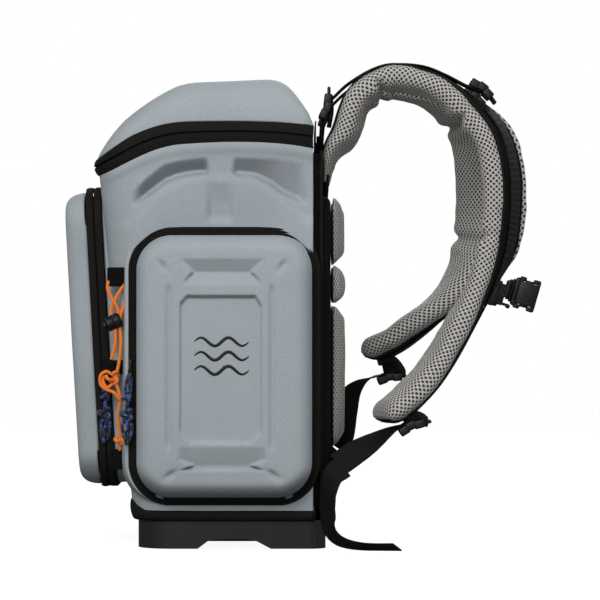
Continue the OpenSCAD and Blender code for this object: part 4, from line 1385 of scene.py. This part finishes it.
def sternum(side):
    """Half of the sternum strap: a slider on the pad's webbing, and the buckle half hooked to it."""
    both = (-1, 1)
    here = at(84, 280.8 if side == "right" else 267.4, 258, -16)
    slider = [block((0, -1.3, 0), (26, 3.2, 18), 1.3), block((0, 0.5, 0), (20, 1.6, 3.0), 0.7)]
    slider += [block((0, 0.8, sz * 5.0), (13, 2.8, 11), 1.2) for sz in both]
    slider.append(block((0, 3.7, 0), (2.6, 2.6, 24), 0.9))
    # the hook that grips the slider, then a socket on the right or prongs on the left
    parts = [block((0, 7.1, 0), (4.6, 4.4, 28), 1.7), block((0, 9.4, 0), (4.6, 4.0, 22), 1.4)]
    parts += [block((0, 8.6, sz * 11.4), (4.8, 6.2, 6.4), 1.7) for sz in both]
    if side == "right":
        parts += [block((0, 10.6, 0), (9, 4, 30), 1.6), block((0, 28.6, 0), (9.4, 3.6, 30), 1.5)]
        parts += [block((sx * 4.3, 19.5, 0), (2.4, 20, 23), 1.0) for sx in both]
        parts += [block((0, y, sz * 14.2), (9.6, long, 4.6), 1.5) for sz in both
                  for y, long in ((12.0, 6.5), (26.4, 7.5))]
        parts += [block((0, 19.2, sz * 12.0), (5.6, 9, 3.6), 1.2) for sz in both]
        parts += [block((sx * 5.5, 15.5 + 2.2 * k, 0), (0.9, 0.9, 13), 0.35)
                  for sx in both for k in range(4)]
    else:
        parts += [block((0, 12.4, 0), (5, 7.4, 28), 1.6), block((0, 17.5, 0), (3.8, 8, 23), 1.5),
                  block((0, 21.5, 0), (4.2, 16, 3.4), 1.2)]
        parts += [block((0, 21, sz * 9.4), (4.0, 15, 3.0), 1.2) for sz in both]
        parts += [block((0, 27.6, sz * 10.4), (4.2, 5, 4.6), 1.6) for sz in both]
    for made, part, body, node in ((slider, "_sternum_clip", "_sternum", "_sternum_slider"),
                                   (parts, "_sternum_catch", "_buckle", "_sternum_buckle")):
        obj = blocks("moulding", made, BUCKLE, here)
        place_side(obj, side, part, side + body, "buckle_black", side + node)


# ------------------------------------------------------------------ loops, elastic cord and pulls

CORD_X = 141.0


def gear_loops():
    """Three fabric tabs on each front corner, which hold the elastic cord."""
    x = CORD_X - 4
    turn = Matrix.Rotation(math.radians(-14), 3, "X")
    tunnel = [block((0, 0, 6.5), (11.5, 12, 3.4), 1.0, turn), block((0, 0, -6.5), (11.5, 12, 3.4), 1.0, turn),
              block((-4.7, 0, 0), (2.2, 12, 15), 0.8, turn), block((4.7, 0, 0), (2.2, 12, 15), 0.8, turn)]
    parts = [block((x + 0.5, -112, 275), (9, 19, 9), 1.6), block((x - 2.8, -112, 266.5), (2.4, 19, 12), 0.9),
             block((x + 3.8, -112, 266.5), (1.6, 19, 12), 0.7), block((x - 5.5, -108, 272), (8, 12, 12), 1.2)]
    parts += [moved(part, (CORD_X - 6, -120.5, 180)) for part in tunnel]
    parts += [block((CORD_X - 12, -107, 180), (3, 20, 14), 0.8),
              block((CORD_X - 20, -108, 88), (4.6, 22, 20), 1.0)]
    place_both("cord_loops", blocks("loops", parts, BACK_CLOTH), "gear_loops")


def elastic(side):
    """Orange shock cord: a crossed loop through the upper tab, two strands and a knotted end."""
    x = CORD_X - 2
    strands = (        # each point as [offset from x, y, z]
        [[0, -114.2, 226], [-1, -117.5, 236], [1.2, -113.5, 248], [1, -105.5, 262], [0, -106.5, 268],
         [-1, -111, 267.5], [-0.8, -104.2, 258], [-1, -103.8, 246], [0, -108.4, 232], [0, -109, 226]],
        [[1.6, -120.3, 266], [1.8, -121, 258], [2.6, -117, 249], [1.6, -111, 238], [1.2, -110.5, 228]],
        [[0, -114, 226], [0, -113.4, 205], [-2, -117, 190], [-3, -121, 178], [-1, -126, 168], [0, -122, 160],
         [-1, -117, 163]],
        [[0, -109.4, 226], [0, -108, 205], [-1.5, -110, 185], [-0.5, -113, 168], [-1, -109, 150],
         [-5, -111, 132], [-10, -109, 112], [-16, -110, 97]],
        [[0, -116, 172], [1.5, -122, 176], [1, -128, 172], [-1, -128, 163], [0, -122, 158], [1, -115, 155],
         [0, -109, 148]])
    objs = [tube("cord", np.array(p) + [x, 0, 0], 1.75, ORANGE) for p in strands]
    objs += [tube("knot", knot_path(*knot), 1.75, ORANGE, step=0.8)
             for knot in (((x, -116, 170), 6.5, (1, 0.2, 0)), ((x - 12, -109.5, 108), 5.0, (1, 0, 0.3)))]
    place_side(join("elastic", objs), side, "_shock_cord", "pack", "cord_orange", "elastic_cords")


def cord_toggle(side):
    """The cord lock: a ribbed barrel and its spring plunger."""
    here = at(CORD_X - 2, -113.0, 226.0, 112.0)
    barrel = [(0.1, -5.6), (5.6, -5.6), (6.9, -4.9), (7.5, -3.4), (7.5, 3), (7.1, 3.6), (7.1, 5), (7.5, 5.6),
              (7.5, 8.6), (6.9, 9.8), (5.7, 10), (5.2, 9.6), (5.0, 7.0)]
    ribs = [block((7.3 * math.cos(t), 7.3 * math.sin(t), -0.2), (0.9, 0.9, 6), 0.3, segments=1)
            for t in np.radians(np.arange(0, 360, 24))]
    cap = [(0.05, 14.2), (3.2, 14.0), (4.2, 13.4), (4.5, 12.3), (4.5, 9.2), (0.05, 9.2)]
    for parts, part, body, node in (([lathe(barrel)] + ribs, "_toggle_barrel", "_toggle", "_cord_lock"),
                                    ([lathe(cap)], "_toggle_button", "_button", "_cord_plunger")):
        obj = outward(blocks("turned", parts, BUCKLE, here))
        place_side(obj, side, part, side + body, "buckle_black", side + node)


def zip_slider(name, node, body, pull):
    """A slider body with a raised bridge and a wire eye that reaches to its cord pull."""
    low, high = box_mm(node)
    centre, size = (low + high) / 2, high - low
    axis = int(np.argmin(size))
    bridge = 0.55 * size
    bridge[axis] = 1.6
    lift = np.zeros(3)
    lift[axis] = (size[axis] / 2 + 0.8) * (1 if centre[axis] > 0 else -1)
    top = centre + lift
    obj = blocks(name, [block(centre, size, 1.0), block(top, bridge, 0.7)], SLIDER)
    middle = (np.array(pull) + top) / 2
    eye = [top, middle + [0, -1.5, 0], np.array(pull), middle + [0, 1.5, 0], top]
    place(join(name, [obj, tube(name + "_eye", eye, 0.8, SLIDER, 8, 0.8)]), body, "slider_metal", node)


def cord_pull(name, eye, body, node, seed):
    """A cord pull: a doubled cord from the eye, two rough knots and three uneven ends."""
    rng = np.random.default_rng(seed)
    e = np.array(eye)

    def run(*points):
        """The points from the eye on, each below it strayed a little."""
        return [e + p + rng.uniform(-1.0, 1.0, 3) * [0.4, 0.9, 1.2] * (p[2] < -6)
                for p in np.array(points, float)]

    cords = [run((0.8, 1.5, -2), (0, 0, 1.2), (-0.8, -2, -2), (0, -3.5, -12), (0, -1.8, -24), (0, -3, -36)),
             run((0.8, 1.5, -2), (0.8, 1.2, -13), (0.8, -1.6, -23), (0.4, -2.4, -36)),
             run((0, -3, -42), (0.5, -6.5, -49), (0, -6.5, -58), (-0.5, -3.5, -69)),
             run((0, -3, -42), (-0.5, 1.5, -48), (0, 2.4, -57), (0.5, -0.4, -65)),
             run((0, -3, -42), (0.8, -1.5, -50), (0.9, -3.0, -57), (0.4, -1.0, -61))]
    objs = [tube("cord", p, 1.7, BLUE) for p in cords]
    for at_knot, size, turn in (([0, -2.6, -39], 6.6, (1, 0.3, 0.2)),
                                ([0.2, -2.2, -21], 4.6, (1, -0.4, 0.5))):
        objs.append(tube("knot", knot_path(e + at_knot, size, turn), 1.75, BLUE, step=0.8))
    place(join(name, objs), body, "cord_blue", node)


def sliders_and_pulls():
    """Every zip's slider, and its cord pull hung from an eye [x, y, z]."""
    for zip_name, eye, seed in (("right", (155.4, -98.6, 172.0), 8), ("left", (-155.4, -98.6, 172.0), 6),
                                ("lid", (-HALF_W - 8.8, 0.0, 403.0), 21),
                                ("front", (POCKET_HALF[0] + 6.2, -122.6, 172.0), 33)):
        zip_slider(zip_name + "_slider_body", zip_name + "_zip_slider", zip_name + "_slider", eye)
        cord_pull(zip_name + "_cord_pull", eye, zip_name + "_pull", zip_name + "_zip_pull", seed)


# ------------------------------------------------------------------ fabric hinges


def hinge_strip(name, corners, along_steps, across_steps, bodies, start, end, *nodes):
    """A flat fabric hinge between four corner points, across the joint where one body turns on another."""
    a, b, c, d = (np.array(p, float) for p in corners)
    u, v = np.linspace(0, 1, along_steps), np.linspace(0, 1, across_steps)
    s, t = u[:, None, None], v[None, :, None]
    grid = (a * (1 - s) + b * s) * (1 - t) + (d * (1 - s) + c * s) * t
    obj = sheet(name, grid, TAPE, uv_grid(u * np.linalg.norm(b - a), v * np.linalg.norm(d - a)))
    span(thicken(obj, 1.4), bodies, start, end, "fabric_black", *nodes)


def fabric_hinges():
    """The cloth hinges of the lid, the side doors and the front cover."""
    hinge_strip("lid_hinge_cloth", [(-120, 85.2, 395), (120, 85.2, 395), (120, 85.6, 426), (-120, 85.6, 426)],
                60, 16, ("pack", "lid"), (0, 85, 414), (0, 85, 425), "lid_hinge_strip")
    z = DOOR_LOW[2]
    for m, side, nodes in ((1, "right", ("side_hinge_strips",)), (-1, "left", ())):
        hinge_strip(side + "_door_hinge_cloth",
                    [(m * 145.6, -60, z - 7.6), (m * 145.6, 50, z - 7.6), (m * 149, 56, z + 0.5),
                     (m * 149, -66, z + 0.5)],
                    40, 8, ("pack", side + "_door"), (m * 145.6, -5, z - 5), (m * 148, -5, z - 0.5), *nodes)
    low, high = box_mm("front_hinge_strip")
    hinge_strip("front_hinge_cloth", [(-84, high[1], low[2] - 0.4), (84, high[1], low[2] - 0.4),
                                      (84, low[1] - 9, low[2] + 0.2), (-84, low[1] - 9, low[2] + 0.2)],
                50, 10, ("pack", "front_door"), (0, -117, 61), (0, -127, 61), "front_hinge_strip")


# ------------------------------------------------------------------ generic mark


def door_mark(side):
    """A plain mark of three printed waves on the door's sunk panel."""
    x = DOOR_HIGH[0] - PANEL_SUNK + 0.12
    first, last, height = -34, 20, 4.0
    y = np.linspace(first, last, 90)
    half = 1.5 * np.sin(np.pi * (y - first) / (last - first)) ** 0.4 + 0.1
    lines = []
    for k, z in enumerate((206, 192, 178)):
        wave = z + height * np.sin((y + 7) / (last - first) * 4 * math.pi)
        slope = unit(np.stack([-np.gradient(wave, y), np.ones_like(y)], -1))
        grid = np.stack([np.stack([np.full_like(y, x), y + edge * half * slope[:, 0],
                                   wave + edge * half * slope[:, 1]], -1) for edge in (-1, 0, 1)], 1)
        lines.append(sheet("wave%d" % k, grid, PRINT))
    obj = thicken(join("mark", lines), 0.16)
    place_side(obj, side, "_door_mark", side + "_door", "fabric_black")


# ------------------------------------------------------------------ stage


def soft_light(name, place_at, target, size, watts):
    """A rectangular area light that faces a target."""
    data = bpy.data.lights.new(name, "AREA")
    data.shape = "RECTANGLE"
    data.size, data.size_y = size
    data.energy = watts
    obj = bpy.data.objects.new(name, data)
    bpy.context.scene.collection.objects.link(obj)
    obj.location = place_at
    obj.rotation_euler = (Vector(target) - Vector(place_at)).to_track_quat("-Z", "Y").to_euler()


FLOOR_GLOW = 0.93           # how bright the camera sees the floor
WORLD_LEVEL = 0.34          # light from the white surroundings
SEEN_WIDTH = 0.6            # width of the picture at the object, in metres
CAMERA_DISTANCE = 3.1
LIGHTS = (                  # name, place, (width, height), watts
    ("key", (2.15, -0.5, 1.55), (1.3, 1.3), 41),
    ("side", (2.4, -0.2, 0.25), (1.0, 0.6), 7),
    ("rear", (0.3, 1.9, 1.1), (1.2, 1.0), 9),
    ("back", (-1.7, 0.4, 1.3), (1.6, 1.4), 17),
)


def stage():
    """A white floor and surroundings, four soft lights and a camera that looks straight at the right side."""
    bpy.ops.mesh.primitive_plane_add(size=8, location=(0, 0, -0.0008))
    floor = bpy.context.active_object
    floor.name = "floor"
    p = Paint("pale_floor", (118, 118, 118), 0.95, spec=0.0)
    p.mix(p.noise(3.0), (112, 112, 112), 0.4)
    seen = p.node("ShaderNodeLightPath").outputs["Is Camera Ray"]
    p.bsdf.inputs["Emission Color"].default_value = (1, 1, 1, 1)
    p.link(p.math("MULTIPLY", seen, FLOOR_GLOW), p.bsdf.inputs["Emission Strength"])
    floor.data.materials.append(p.done())
    scene = bpy.context.scene
    world = bpy.data.worlds.new("studio")
    scene.world = world
    world.use_nodes = True
    tree = world.node_tree
    background = tree.nodes["Background"]
    background.inputs[0].default_value = (1, 1, 1, 1)
    path = tree.nodes.new("ShaderNodeLightPath")
    level = tree.nodes.new("ShaderNodeMapRange")
    level.inputs["To Min"].default_value = WORLD_LEVEL
    level.inputs["To Max"].default_value = 1.0
    tree.links.new(path.outputs["Is Camera Ray"], level.inputs["Value"])
    tree.links.new(level.outputs["Result"], background.inputs[1])
    scene.view_settings.view_transform = "Standard"
    for name, place_at, size, watts in LIGHTS:
        soft_light(name, place_at, (0.0, 0.05, 0.24), size, watts)
    camera = bpy.data.cameras.new("camera")
    camera.sensor_fit = "HORIZONTAL"
    camera.angle = 2 * math.atan(SEEN_WIDTH / 2 / CAMERA_DISTANCE)
    obj = bpy.data.objects.new("camera", camera)
    scene.collection.objects.link(obj)
    obj.location = (CAMERA_DISTANCE + 0.12, 0.070, 0.247)
    obj.rotation_euler = (math.radians(90), 0, math.radians(90))
    scene.camera = obj


body_shell()
body_lining()
base_parts()
base_binding()
lid_shell()
rim_tape("lid_zip_lower_flap", "pack", "lid_zip_body_tape", 0.0, 0.49)
rim_tape("lid_zip_upper_flap", "lid", "lid_zip_lid_tape", 0.51, 1.0)
front_cover()
pocket_tub()
pocket_tape("front_zip_rear_band", "pack", "front_zip_body_tape", 0.2, 8.0)
pocket_tape("front_zip_front_band", "front_door", "front_zip_cover_tape", -7.8, -0.2)
back_panel()
for cushion in ("back_pad_upper", "back_pad_middle", "back_pad_lumbar"):
    back_cushion(cushion)
strap("right", RIGHT_LOW)
strap("left", LEFT_LOW)
for build in (door_land, side_door, door_zips, door_mark, lifters, lower_straps, sternum, elastic,
              cord_toggle):
    for side_name in ("right", "left"):
        build(side_name)
haul_loop()
strap_roots()
lower_wings()
gear_loops()
sliders_and_pulls()
fabric_hinges()
stage()
